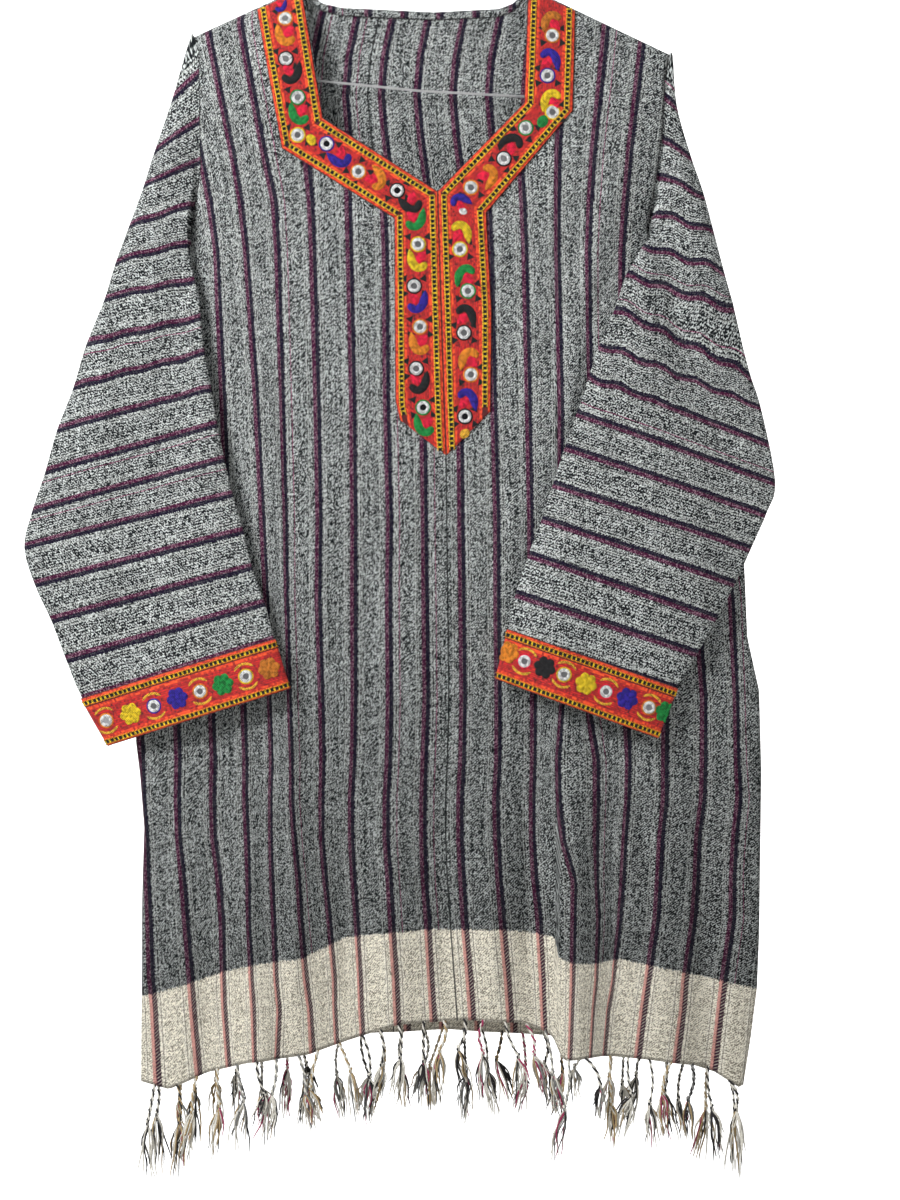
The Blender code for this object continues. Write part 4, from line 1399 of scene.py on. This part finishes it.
# %% Thread and mirror materials
STITCH = 0.0022


def embroidery_thread(name, colour):
    """Close rows of stitches: short bright strands with a dark gap between them."""
    material = plain_material(name, colour, 0.62)
    nodes = Nodes(material)
    x, _, z = nodes.split(nodes.object_place())
    lean = nodes.over(nodes.add(x, z), STITCH)
    cross = nodes.over(nodes.minus(x, z), STITCH)
    speck = nodes.chance(lean, cross)
    loops = nodes.times(nodes.math("SINE", nodes.times(lean, math.tau)), 0.5)
    loops = nodes.add(loops, nodes.times(nodes.math("SINE", nodes.times(cross, math.tau)), 0.5))
    lit = nodes.add(nodes.times(speck, 0.75), nodes.times(loops, 0.55))
    lit = nodes.add(lit, 0.25, clamp=True)
    dark = tuple(value * 0.10 for value in colour)
    light = tuple(min(value * 1.25 + 0.01, 1) for value in colour)
    nodes.shade(Base_Color=nodes.mix(lit, dark, light), Sheen_Weight=0.03, Specular_IOR_Level=0.25)
    nodes.bump(loops, 0.0004, 0.7)
    return material


def mirror_glass(name, tint):
    material = plain_material(name, tint, 0.12)
    nodes = Nodes(material)
    cloud = nodes.noise(nodes.object_place(), 420)
    worn = tuple(value * 0.6 for value in tint)
    nodes.shade(Base_Color=nodes.mix(cloud, worn, tint), Metallic=1.0)
    nodes.bump(cloud, 0.0002, 0.3)
    return material


WORK_COLOURS = {
    "stitch_blue": (0.022, 0.008, 0.30),
    "stitch_orange": (0.78, 0.24, 0.012),
    "stitch_black": (0.006, 0.006, 0.008),
    "stitch_green": (0.004, 0.26, 0.045),
    "stitch_yellow": (0.90, 0.56, 0.01),
    "stitch_tan": (0.60, 0.19, 0.015),
    "stitch_crimson": (0.86, 0.004, 0.045),
    "stitch_white": (0.86, 0.86, 0.84),
    "stitch_ochre": (0.80, 0.42, 0.03),
}
# All the mirrors are one glass: the grey tint is its usual look, and the dark and bright tints paint the dark
# and the bright reflections that single mirrors show
MIRROR_TINTS = {
    "mirror_grey": (0.60, 0.60, 0.62),
    "mirror_painted_dark_reflection": (0.07, 0.07, 0.08),
    "mirror_painted_bright_reflection": (0.88, 0.88, 0.9),
}
work_materials = [embroidery_thread(name, colour) for name, colour in WORK_COLOURS.items()]
work_materials += [mirror_glass(name, tint) for name, tint in MIRROR_TINTS.items()]
(
    BLUE, ORANGE, BLACK_STITCH, GREEN, YELLOW, TAN_STITCH, CRIMSON, WHITE_STITCH, OCHRE,
    GLASS, GLASS_PAINTED_DARK, GLASS_PAINTED_BRIGHT,
) = range(12)
# Faces of a flat shape with these two numbers take the colour and the glass it is laid with
OWN_COLOUR = 15
OWN_GLASS = 16
print("threads and mirrors:", len(work_materials), "materials")

# %% A padded stroke: x and y in millimetres, z the height above the tape
STROKE_FOOT = 0.12


def round_out(points, steps):
    """A smooth curve through control points, steps pieces to each gap."""
    smooth = []
    last = len(points) - 1
    for index in range(last):
        around = [points[min(max(index + offset, 0), last)] for offset in (-1, 0, 1, 2)]
        for step in range(steps):
            smooth.append(tuple(smooth_point(*values, step / steps) for values in zip(*around)))
    smooth.append(tuple(points[-1]))
    return smooth


def padded_stroke(bm, spine, height, colour, steps=3, cells=4):
    """A stroke from a grid, low at its edges and full in the middle. Spine points are (x, y, width)."""
    curve = round_out(spine, steps)
    rows = len(curve) - 1
    grid = bmesh.ops.create_grid(bm, x_segments=cells, y_segments=rows, size=0.5)
    for face in {face for vert in grid["verts"] for face in vert.link_faces}:
        face.material_index = colour
    for vert in grid["verts"]:
        row = round((vert.co.y + 0.5) * rows)
        x, y, width = curve[row]
        ahead, behind = curve[min(row + 1, rows)], curve[max(row - 1, 0)]
        way = Vector((ahead[0] - behind[0], ahead[1] - behind[1])).normalized()
        over = vert.co.x
        full = math.sqrt(max(1 - (2 * over) ** 2, 0)) * min(width / 4, 1)
        vert.co = Vector((x + way.y * over * width, y - way.x * over * width, STROKE_FOOT + height * full))


# %% Paisley, leaf and petal
PAISLEY_SPINE = [
    (6.2, 12.2, 0.6), (6.0, 9.6, 3.6), (5.4, 5.8, 6.6), (4.2, 0.6, 8.2), (1.0, -4.2, 7.8), (-3.4, -5.6, 7.0),
    (-6.6, -3.6, 7.0), (-7.9, -1.4, 5.4), (-8.3, 0.2, 1.0),
]
LEAF_SPINE = [(-8.6, 9.4, 0.6), (-6.8, 7.2, 5.6), (-3.9, 4.2, 8.4), (-1.8, 1.6, 6.4), (-0.6, -0.2, 0.8)]
PETAL_SPINE = [(0, 5.6, 0.6), (0, 4.4, 5.6), (0, 0, 9.2), (0, -4.4, 5.6), (0, -5.6, 0.6)]


def build_paisley(bm):
    padded_stroke(bm, PAISLEY_SPINE, 1.3, OWN_COLOUR)
    padded_stroke(bm, LEAF_SPINE, 0.7, CRIMSON)


def build_petal(bm):
    padded_stroke(bm, PETAL_SPINE, 1.1, OWN_COLOUR)


# %% Mirror in its two rings of thread
MIRROR_RADIUS = 2.75
MIRROR_HEIGHT = 0.45
RING_STITCHES = 26
WHITE_RING = [(MIRROR_RADIUS, 0.2), (MIRROR_RADIUS + 0.4, 1.0), (4.4, 1.3), (5.5, 1.0), (6.0, 0.3)]
COLOURED_RIM = [(5.9, 0.15), (6.3, 0.8), (6.9, 0.8), (7.4, 0.1)]


def spun_ring(bm, profile, colour, ripple):
    """Turns a small arch about z; every other step lies a little lower, as between single stitches."""
    verts = [bm.verts.new((radius, 0, height)) for radius, height in profile]
    edges = [bm.edges.new(pair) for pair in zip(verts, verts[1:])]
    before = set(bm.faces)
    bmesh.ops.spin(
        bm, geom=verts + edges, cent=(0, 0, 0), axis=(0, 0, 1), dvec=(0, 0, 0), angle=math.tau,
        space=Matrix.Identity(4), steps=RING_STITCHES, use_merge=True, use_normal_flip=False,
        use_duplicate=False,
    )
    made = set(bm.faces) - before
    for face in made:
        face.material_index = colour
    for vert in {vert for face in made for vert in face.verts}:
        turn = round(math.atan2(vert.co.y, vert.co.x) / math.tau * RING_STITCHES)
        if turn % 2 and vert.co.z > 0.5:
            vert.co.z -= ripple


def flat_disc(bm, corners, radius, height, colour):
    disc = bmesh.ops.create_circle(bm, cap_ends=True, segments=corners, radius=radius)
    for vert in disc["verts"]:
        vert.co.z = height
    disc["verts"][0].link_faces[0].material_index = colour


def build_mirror(bm):
    spun_ring(bm, WHITE_RING, WHITE_STITCH, 0.16)
    spun_ring(bm, COLOURED_RIM, OWN_COLOUR, 0.12)
    flat_disc(bm, 18, MIRROR_RADIUS + 0.15, MIRROR_HEIGHT, OWN_GLASS)


# %% Flower, arcs round a mirror, and a dark wedge
LOBES = 6
LOBE_SPINE = ((1.6, 3.0), (4.4, 6.6), (7.4, 8.6), (9.6, 6.6), (11.2, 1.0))
ARC_RADIUS = 11.6
ARC_STARTS = (40, 220)
ARC_SWEEP = 100
ARC_STEPS = 8


def build_flower(bm):
    for lobe in range(LOBES):
        turn = math.tau * lobe / LOBES
        spine = [(out * math.cos(turn), out * math.sin(turn), width) for out, width in LOBE_SPINE]
        padded_stroke(bm, spine, 1.2, OWN_COLOUR, steps=2)
    middle = bmesh.ops.create_uvsphere(bm, u_segments=10, v_segments=6, radius=2.6)
    for vert in middle["verts"]:
        vert.co.z = 0.6 + vert.co.z * 0.35
    for face in {face for vert in middle["verts"] for face in vert.link_faces}:
        face.material_index = OWN_COLOUR


def build_arcs(bm):
    for start in ARC_STARTS:
        spine = []
        for step in range(ARC_STEPS + 1):
            turn = math.radians(start + ARC_SWEEP * step / ARC_STEPS)
            width = 0.6 if step in (0, ARC_STEPS) else 2.3
            spine.append((ARC_RADIUS * math.cos(turn), ARC_RADIUS * math.sin(turn), width))
        padded_stroke(bm, spine, 0.6, OCHRE, steps=1)


def build_wedge(bm):
    """A dark corner where black ground shows between two pictures."""
    flat_disc(bm, 3, 4.2, 0.18, BLACK_STITCH)


# %% The flat shapes, each made once
def flat_shape(build):
    """Runs a builder on an empty mesh and keeps the result as a template."""
    bm = bmesh.new()
    build(bm)
    mesh = bpy.data.meshes.new("shape")
    bm.to_mesh(mesh)
    bm.free()
    return mesh


SHAPES = {
    "paisley": flat_shape(build_paisley),
    "petal": flat_shape(build_petal),
    "mirror": flat_shape(build_mirror),
    "flower": flat_shape(build_flower),
    "arcs": flat_shape(build_arcs),
    "wedge": flat_shape(build_wedge),
}
print("shapes:", {name: len(mesh.polygons) for name, mesh in SHAPES.items()})


# %% Laying a flat shape on a tape
def lay(bm, shape, x, drop, surface, colour=BLACK_STITCH, turn=0, mirrored=False, scale=1.0, glass=GLASS):
    """Adds a shape at a spot, turned anticlockwise as the viewer sees it.

    surface(x, drop, height) gives points of the tape.
    """
    old_verts, old_faces = len(bm.verts), len(bm.faces)
    bm.from_mesh(SHAPES[shape])
    bm.verts.ensure_lookup_table()
    bm.faces.ensure_lookup_table()
    cosine, sine = math.cos(math.radians(turn)), math.sin(math.radians(turn))
    for vert in bm.verts[old_verts:]:
        over = (-vert.co.x if mirrored else vert.co.x) * scale
        up = vert.co.y * scale
        vert.co = surface(x + over * cosine - up * sine, drop - over * sine - up * cosine, vert.co.z)
    made = bm.faces[old_faces:]
    for face in made:
        if face.material_index == OWN_COLOUR:
            face.material_index = colour
        elif face.material_index == OWN_GLASS:
            face.material_index = glass
        face.normal_update()
    outward = surface(x, drop, 1.0) - surface(x, drop, 0.0)
    turned = [face for face in made if face.normal.dot(outward) < -0.0000001]
    if len(turned) * 2 > len(made):
        bmesh.ops.reverse_faces(bm, faces=made)


def on_neck_tape(x, drop, height):
    return place(x, braid_depth(x, drop) - height, drop)


# %% The neck's pictures: colour, x, drop, mirrored, turn, scale
PAISLEYS = [
    (BLUE, -126.9, 19.6, False, 0, 0.58), (ORANGE, -124.2, 48.8, True, 0, 1),
    (BLACK_STITCH, -115.9, 84.6, False, 0, 1), (GREEN, -111.3, 122.4, True, 0, 1),
    (BLUE, -72.3, 163.3, True, 35, 1), (ORANGE, -37.1, 181.2, False, 50, 1),
    (BLACK_STITCH, -7.1, 205.6, True, 30, 1), (GREEN, -1.3, 220.4, False, 0, 1),
    (YELLOW, -1.6, 258.5, True, 0, 1), (BLUE, 0.5, 296.7, False, 0, 1), (ORANGE, -0.1, 335.2, True, 0, 1),
    (BLACK_STITCH, 2.1, 371.3, False, 0, 1), (GREEN, 4.5, 410.5, True, 0, 1),
    (TAN_STITCH, 122.4, 32.9, False, 180, 1), (BLUE, 123.1, 69.1, True, 180, 1),
    (YELLOW, 121.6, 107.3, False, 180, 1), (BLACK_STITCH, 86.3, 147.0, False, 135, 1),
    (ORANGE, 66.1, 178.7, True, 135, 1), (BLUE, 38.9, 201.5, True, -135, 0.85),
    (YELLOW, 40.9, 229.4, True, 180, 1), (GREEN, 42.1, 269.6, False, 180, 1),
    (BLACK_STITCH, 45.2, 306.4, True, 180, 1), (ORANGE, 45.7, 346.7, False, 180, 1),
    (BLUE, 46.7, 384.1, True, 180, 1),
]
# Petals that fill a corner: colour, x, drop, turn, scale
PETALS = [
    (YELLOW, -98.9, 145.4, 30, 1.0), (GREEN, 115.0, 128.2, -30, 1.1), (OCHRE, 43.0, 417.0, -50, 0.9),
    (WHITE_STITCH, 41.5, 211.5, 65, 0.7),
]
bm = bmesh.new()
for colour, x, drop, mirrored, turn, scale in PAISLEYS:
    lay(bm, "paisley", x, drop, on_neck_tape, colour, turn, mirrored, scale)
for colour, x, drop, turn, scale in PETALS:
    lay(bm, "petal", x, drop, on_neck_tape, colour, turn, False, scale)
neck_pictures = new_piece("paisleys_neck", bm, work_materials)

# %% The neck's mirrors: rim colour, x, drop, and the glass tint, which paints the mirror's reflection
MIRRORS = [
    (ORANGE, -123.3, 31.3, GLASS_PAINTED_BRIGHT), (BLACK_STITCH, -122.4, 69.9, GLASS_PAINTED_BRIGHT),
    (GREEN, -111.3, 105.8, GLASS_PAINTED_BRIGHT), (YELLOW, -111.3, 140.8, GLASS), (BLUE, -84.6, 149.0, GLASS_PAINTED_DARK),
    (ORANGE, -55.2, 174.8, GLASS), (BLACK_STITCH, -19.3, 192.3, GLASS_PAINTED_DARK), (YELLOW, 0.0, 242.0, GLASS),
    (BLACK_STITCH, -3.7, 280.6, GLASS), (ORANGE, 1.8, 318.3, GLASS), (BLACK_STITCH, -1.8, 357.0, GLASS),
    (GREEN, 4.6, 392.8, GLASS_PAINTED_DARK), (TAN_STITCH, 124.2, 47.8, GLASS), (BLUE, 119.6, 85.6, GLASS),
    (YELLOW, 124.2, 119.6, GLASS), (GREEN, 99.4, 134.3, GLASS_PAINTED_BRIGHT),
    (BLACK_STITCH, 79.1, 162.8, GLASS_PAINTED_BRIGHT), (ORANGE, 48.8, 189.5, GLASS), (YELLOW, 38.6, 246.6, GLASS),
    (GREEN, 46.0, 285.2, GLASS), (BLACK_STITCH, 42.3, 323.8, GLASS), (ORANGE, 48.8, 362.5, GLASS),
    (BLACK_STITCH, 43.2, 401.1, GLASS_PAINTED_DARK),
]
# Four dark wedges lie round each mirror, beside the line that the tape takes there
WEDGE_OFF = 11.4
WEDGE_TURNS = (-52, 52, 232, -232)


def tape_turn(x):
    """The way the neck's tape runs, in degrees: slanting along both sides of the V, else upright."""
    if -105 < x < -25:
        return 125
    return 55 if 70 < x < 105 else 90


bm = bmesh.new()
for colour, x, drop, glass in MIRRORS:
    lay(bm, "mirror", x, drop, on_neck_tape, colour, glass=glass)
    for wedge_turn in WEDGE_TURNS:
        turn = tape_turn(x) + wedge_turn
        over, up = math.cos(math.radians(turn)) * WEDGE_OFF, math.sin(math.radians(turn)) * WEDGE_OFF
        lay(bm, "wedge", x + over, drop - up, on_neck_tape, turn=turn + 180)
neck_mirrors = new_piece("mirrors_neck", bm, work_materials)

# %% [markdown]
# ### Chain edging
#
# Along each long edge of the trim runs a ladder of chain stitch over black: two rails, ochre on the neck's
# braid and orange on the cuffs', with a yellow rung every 4.3 mm. A grid is laid along the line, two cells to
# a stitch. The rails and rungs stand up, and the cells between them stay low and black.

# %% A ladder of chain stitch along any line on a surface
STITCH_LONG = 4.3
RUNG = 1.5
RUNG_PROUD = 0.28
LADDER = [
    (-2.7, 0.05), (-2.4, 0.7), (-1.6, 0.75), (-1.4, 0.2), (1.4, 0.2), (1.6, 0.75), (2.4, 0.7), (2.7, 0.05),
]


def chain_ladder(bm, length, line_point, rng, rail):
    """line_point(distance, offset, height) is a point along the line; rail is the rails' colour."""
    stitches = max(int(length / STITCH_LONG), 1)
    pitch = length / stitches
    columns = len(LADDER)
    grid = bmesh.ops.create_grid(bm, x_segments=columns - 1, y_segments=stitches * 2, size=0.5)
    faces = {}
    for vert in grid["verts"]:
        column = round((vert.co.x + 0.5) * (columns - 1))
        row = round((vert.co.y + 0.5) * stitches * 2)
        faces.update({face: None for face in vert.link_faces})
        vert.index = row * columns + column
    jitter = [rng.uniform(-0.25, 0.25) for _ in range(stitches * 2 + 1)]
    for face in faces:
        row, column = divmod(min(vert.index for vert in face.verts), columns)
        hole = row % 2 == 1 and column in (2, 3, 4)
        in_rung = row % 2 == 0 and 1 < column < 5
        face.material_index = BLACK_STITCH if hole else YELLOW if in_rung else rail
        face.smooth = True
    for vert in grid["verts"]:
        row, column = divmod(vert.index, columns)
        offset, height = LADDER[column]
        along_it = (row // 2) * pitch + (RUNG if row % 2 else 0)
        along_it = min(max(along_it + jitter[row], 0), length)
        proud = RUNG_PROUD if row % 2 == 0 and 2 <= column <= 5 else 0
        vert.co = line_point(along_it, offset + jitter[row] * 0.5, height + proud)
    made = list(faces)
    for face in made:
        face.normal_update()
    outward = line_point(length / 2, 0, 1.0) - line_point(length / 2, 0, 0.0)
    if sum(face.normal.dot(outward) for face in made[:40]) < 0:
        bmesh.ops.reverse_faces(bm, faces=made)


# %% Chain edging of the neck and placket
CHAIN_OVER = (0.13, 0.87)
CHAIN_STEPS = 40
PLACKET_END = 0.955
DIAGONAL_END = 0.02


def line_between(left_line, right_line, over, start, end):
    """Points along a tape, a share of the way across it."""
    points = []
    for step in range(CHAIN_STEPS + 1):
        share = start + (end - start) * step / CHAIN_STEPS
        a, b = on_line(left_line, share), on_line(right_line, share)
        points.append((a[0] + (b[0] - a[0]) * over, a[1] + (b[1] - a[1]) * over))
    return points


rng = random.Random(5)
bm = bmesh.new()
for name, (left_line, right_line) in NECK_BRAIDS.items():
    for over in CHAIN_OVER:
        start, end = 0.0, 1.0
        if name == "braid_placket_left" and over < 0.5 or name == "braid_placket_right" and over > 0.5:
            end = PLACKET_END
        if name == "braid_diagonal_left":
            start, end = DIAGONAL_END, 1 - DIAGONAL_END
        points = line_between(left_line, right_line, over, start, end)
        length = line_length(points)

        def tape_point(distance, offset, height, points=points, length=length):
            share = min(max(distance / length, 0), 1)
            x, drop = on_line(points, share)
            ahead, behind = on_line(points, min(share + 0.02, 1)), on_line(points, max(share - 0.02, 0))
            run, fall = ahead[0] - behind[0], ahead[1] - behind[1]
            size = math.hypot(run, fall)
            return on_neck_tape(x + fall / size * offset, drop - run / size * offset, height)

        chain_ladder(bm, length, tape_point, rng, OCHRE)
neck_chain = new_piece("chain_stitch_neck", bm, work_materials)

# %% The cuffs' pictures, front and back
CUFF_PICTURES = {
    "left": [
        ("mirror", ORANGE, -288.0, 681.7), ("flower", YELLOW, -265.0, 675.3), ("mirror", BLUE, -242.9, 667.9),
        ("flower", BLUE, -220.8, 660.6), ("mirror", ORANGE, -199.6, 654.1), ("flower", GREEN, -178.5, 647.7),
        ("mirror", YELLOW, -157.3, 640.3), ("flower", TAN_STITCH, -136.2, 633.0),
    ],
    "right": [
        ("flower", ORANGE, 82.8, 618.2), ("mirror", CRIMSON, 97.5, 626.5),
        ("flower", BLACK_STITCH, 115.9, 632.0), ("mirror", YELLOW, 133.4, 638.5),
        ("flower", YELLOW, 153.6, 646.8), ("mirror", CRIMSON, 172.0, 654.1), ("flower", BLUE, 191.4, 660.6),
        ("mirror", ORANGE, 211.6, 668.8), ("flower", GREEN, 227.2, 673.4),
    ],
}
CUFF_LEAN = {"left": 16.8, "right": -21.5}
CUFF_SCALE = {"flower": 0.92, "mirror": 0.96}
FAR_OFF = 0.2


def on_cuff_tape(side, face):
    """Points on a cuff seen from the front (face -1) or from the back (face 1)."""
    tree = CUFF_TREES[side]
    low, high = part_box("cuff_braid_" + side)
    middle_y = (low[1] + high[1]) / 2

    def surface(x, drop, height):
        spot = place(x, 0, drop)
        spot.y = middle_y + face * FAR_OFF
        hit, normal = tree.ray_cast(spot, Vector((0, -face, 0)))[:2]
        if hit is None:
            spot.y = middle_y
            hit, normal = tree.find_nearest(spot)[:2]
        if normal.dot(Vector((0, face, 0))) < 0:
            normal = -normal
        return hit + normal * height * MM

    return surface


for side, pictures in CUFF_PICTURES.items():
    bm = bmesh.new()
    for face in (-1, 1):
        surface = on_cuff_tape(side, face)
        for shape, colour, x, drop in pictures:
            lay(bm, shape, x, drop, surface, colour, CUFF_LEAN[side], False, CUFF_SCALE[shape])
            if shape == "mirror":
                lay(bm, "arcs", x, drop, surface, turn=CUFF_LEAN[side])
    CUFF_PIECES[side].append(new_piece("pictures_cuff_" + side, bm, work_materials))


# %% Chain edging of the cuffs
CUFF_CHAIN_DOWN = (0.115, 0.885)
for side, rows in CUFF_ROWS.items():
    bm = bmesh.new()
    for down in CUFF_CHAIN_DOWN:
        at = down * (len(rows) - 1)
        upper, part = int(at), at - int(at)
        ring = [
            (a[0].lerp(b[0], part), (a[1].lerp(b[1], part)).normalized(), (b[0] - a[0]).normalized())
            for a, b in zip(rows[upper], rows[upper + 1])
        ]
        ring.append(ring[0])
        steps = [(a[0] - b[0]).length / MM for a, b in zip(ring, ring[1:])]

        def cuff_point(distance, offset, height, ring=ring, steps=steps):
            index = 0
            while index < len(steps) - 1 and distance > steps[index]:
                distance -= steps[index]
                index += 1
            part = min(distance / steps[index], 1)
            spot, normal, down_it = (ring[index][k].lerp(ring[index + 1][k], part) for k in range(3))
            return spot + (normal.normalized() * height + down_it * offset) * MM

        chain_ladder(bm, sum(steps), cuff_point, rng, ORANGE)
    CUFF_PIECES[side].append(new_piece("chain_stitch_cuff_" + side, bm, work_materials))


# %% [markdown]
# ## Hems, seams and the hanger
#
# The back of the neck ends in a narrow turned hem, held by a row of running stitches. Where each sleeve joins
# the front, a line of dark strands is painted shadow, the dark gap between sleeve and panel, and inside each
# underarm lie the seam's turned edges. The hanger is a plain bent wire, so its solid stays, with worn zinc on
# it.

# %% Turned hem at the back of the neck
NECK_HEM = 6.6
HEM_ENDS = (-104.0, 100.0)
HEM_FOOT = 0.3
HEM_ROLL = 1.0
HEM_ON_STRIPE = 0.012
WEAVE_TOP = 900


def neck_hem():
    """A strip on the back panel's inside, under its neck edge, rolled towards its two long edges."""
    left, right = HEM_ENDS
    bm = bmesh.new()
    bmesh.ops.create_grid(bm, x_segments=64, y_segments=4, size=0.5)
    weave = bm.loops.layers.uv.new("weave")
    for vert in bm.verts:
        x = left + (right - left) * (vert.co.x + 0.5)
        drop = along(BACK_NECKLINE, x) + (0.5 - vert.co.y) * NECK_HEM
        proud = HEM_FOOT + HEM_ROLL * math.sqrt(max(1 - (2 * vert.co.y) ** 2, 0))
        for loop in vert.link_loops:
            loop[weave].uv = (x * MM + HEM_ON_STRIPE, (WEAVE_TOP - drop) * MM)
        vert.co = place(x, back_depth(x, drop) - CLOTH - proud, drop)
    bmesh.ops.recalc_face_normals(bm, faces=bm.faces)
    if sum(face.normal.y for face in bm.faces) > 0:
        bmesh.ops.reverse_faces(bm, faces=bm.faces)
    return new_piece("hem_back_neck", bm, [cotton])


back_neck_hem = neck_hem()


# %% Running stitches
def stitches_and_shadow_lines(name, line, stitch, gap, width):
    """Short raised strands of dark thread along a line of points: the back neck's running stitches, and the
    painted shadow along each armhole.
    """
    bm = bmesh.new()
    lengths = [(b - a).length / MM for a, b in zip(line, line[1:])]

    def at(distance):
        for (a, b), length in zip(zip(line, line[1:]), lengths):
            if distance <= length:
                return a.lerp(b, distance / length)
            distance -= length
        return line[-1]

    start = 0.0
    while start + stitch < sum(lengths):
        points = [at(start), at(start + stitch / 2), at(start + stitch)]
        drawn_strand(bm, points, [width * 0.4 * MM, width * MM, width * 0.4 * MM], 0, 4)
        start += stitch + gap
    return new_piece(name, bm, [fringe_materials[BLACK]])


STITCH_STEPS = 64
STITCH_ENDS = (-103, 98)
stitch_line = []
for step in range(STITCH_STEPS + 1):
    x = STITCH_ENDS[0] + (STITCH_ENDS[1] - STITCH_ENDS[0]) * step / STITCH_STEPS
    drop = along(BACK_NECKLINE, x) + NECK_HEM + 0.5
    stitch_line.append(place(x, back_depth(x, drop) - CLOTH - 0.5, drop))
hem_stitches = stitches_and_shadow_lines("stitches_back_neck", stitch_line, stitch=2.8, gap=0.4, width=1.2)

# %% Painted shadow where each sleeve joins the front panel, drawn as a line of dark strands along the seam
SHADOW_LINE_PROUD = Vector((0, -0.3, 0))
for side in ("left", "right"):
    edge_points = armhole_edge(SHOULDER_LINE, FRONT_HEM, front_out, side == "right", FRONT_INNER, 24)
    armhole_shadow_line = [place(*(edge + way * SEAM_GAP / 2 + SHADOW_LINE_PROUD)) for edge, way in edge_points]
    name = "painted_shadow_armhole_" + side
    stitches_and_shadow_lines(name, armhole_shadow_line, stitch=3.2, gap=0.5, width=1.3)


# %% Seam allowance inside each underarm
ALLOWANCE_TOP = 207
ALLOWANCE_LENGTH = 36
ALLOWANCE_LOWER = 4
ALLOWANCE_INSIDE = 2.5
ALLOWANCE_WIDTH = 9.0
ALLOWANCE_DEPTH = 0.4
ALLOWANCE_CLOTH = 0.8


def underarm_allowance(name, side_line, way):
    """The turned edges of the seam at the underarm: a short strip just inside the sleeve's opening."""
    bm = bmesh.new()
    bmesh.ops.create_grid(bm, x_segments=3, y_segments=10, size=0.5)
    weave = bm.loops.layers.uv.new("weave")
    for vert in bm.verts:
        drop = ALLOWANCE_TOP + ALLOWANCE_LENGTH * (0.5 - vert.co.y)
        bulge = math.sqrt(max(1 - (2 * vert.co.y) ** 2, 0.02))
        out = -ALLOWANCE_INSIDE + ALLOWANCE_WIDTH * (vert.co.x + 0.5) * bulge
        for loop in vert.link_loops:
            loop[weave].uv = (HEM_ON_STRIPE + out * MM, drop * MM)
        vert.co = place(along(side_line, drop) + way * out, ALLOWANCE_DEPTH, drop + ALLOWANCE_LOWER)
    made = new_piece(name, bm, [sleeve_cotton])
    thicken(made, ALLOWANCE_CLOTH, even=False)
    return made


right_allowance = underarm_allowance("seam_allowance_right", RIGHT_SIDE, 1)
left_allowance = underarm_allowance("seam_allowance_left", LEFT_SIDE, -1)


# %% The hanger's wire
def zinc_wire():
    material = plain_material("zinc_wire", (0.2, 0.2, 0.2), 0.4)
    nodes = Nodes(material)
    spot = nodes.object_place()
    dull = nodes.noise(spot, 160, 4, 0.6)
    colour = nodes.mix(dull, (0.36, 0.36, 0.365), (0.72, 0.72, 0.73))
    nodes.shade(Base_Color=colour, Metallic=0.6, Roughness=nodes.scaled(dull, 0.35, 0.22))
    nodes.bump(nodes.noise(spot, 900), 0.0001, 0.4)
    return material


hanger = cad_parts["wire_hanger"]
wire = zinc_wire()
for material_slot in hanger.material_slots:
    material_slot.material = wire
print("hanger slots", len(hanger.material_slots))

# %% [markdown]
# ## Cloth as it was cut
#
# The front and back are one width of cloth each, whose warp ends make the fringe, and each sleeve is a
# tapered piece sewn into a tube. These sizes are of what hangs here, measured flat.


# %% Flat sizes
def flat_area(made):
    """The area of one side of a piece, before its wall is added, in square metres."""
    return sum(face.area for face in made.data.polygons)


for made in (front, back, SLEEVES["left"][0], SLEEVES["right"][0]):
    print(made.name, "one side", round(flat_area(made), 4), "square metres")
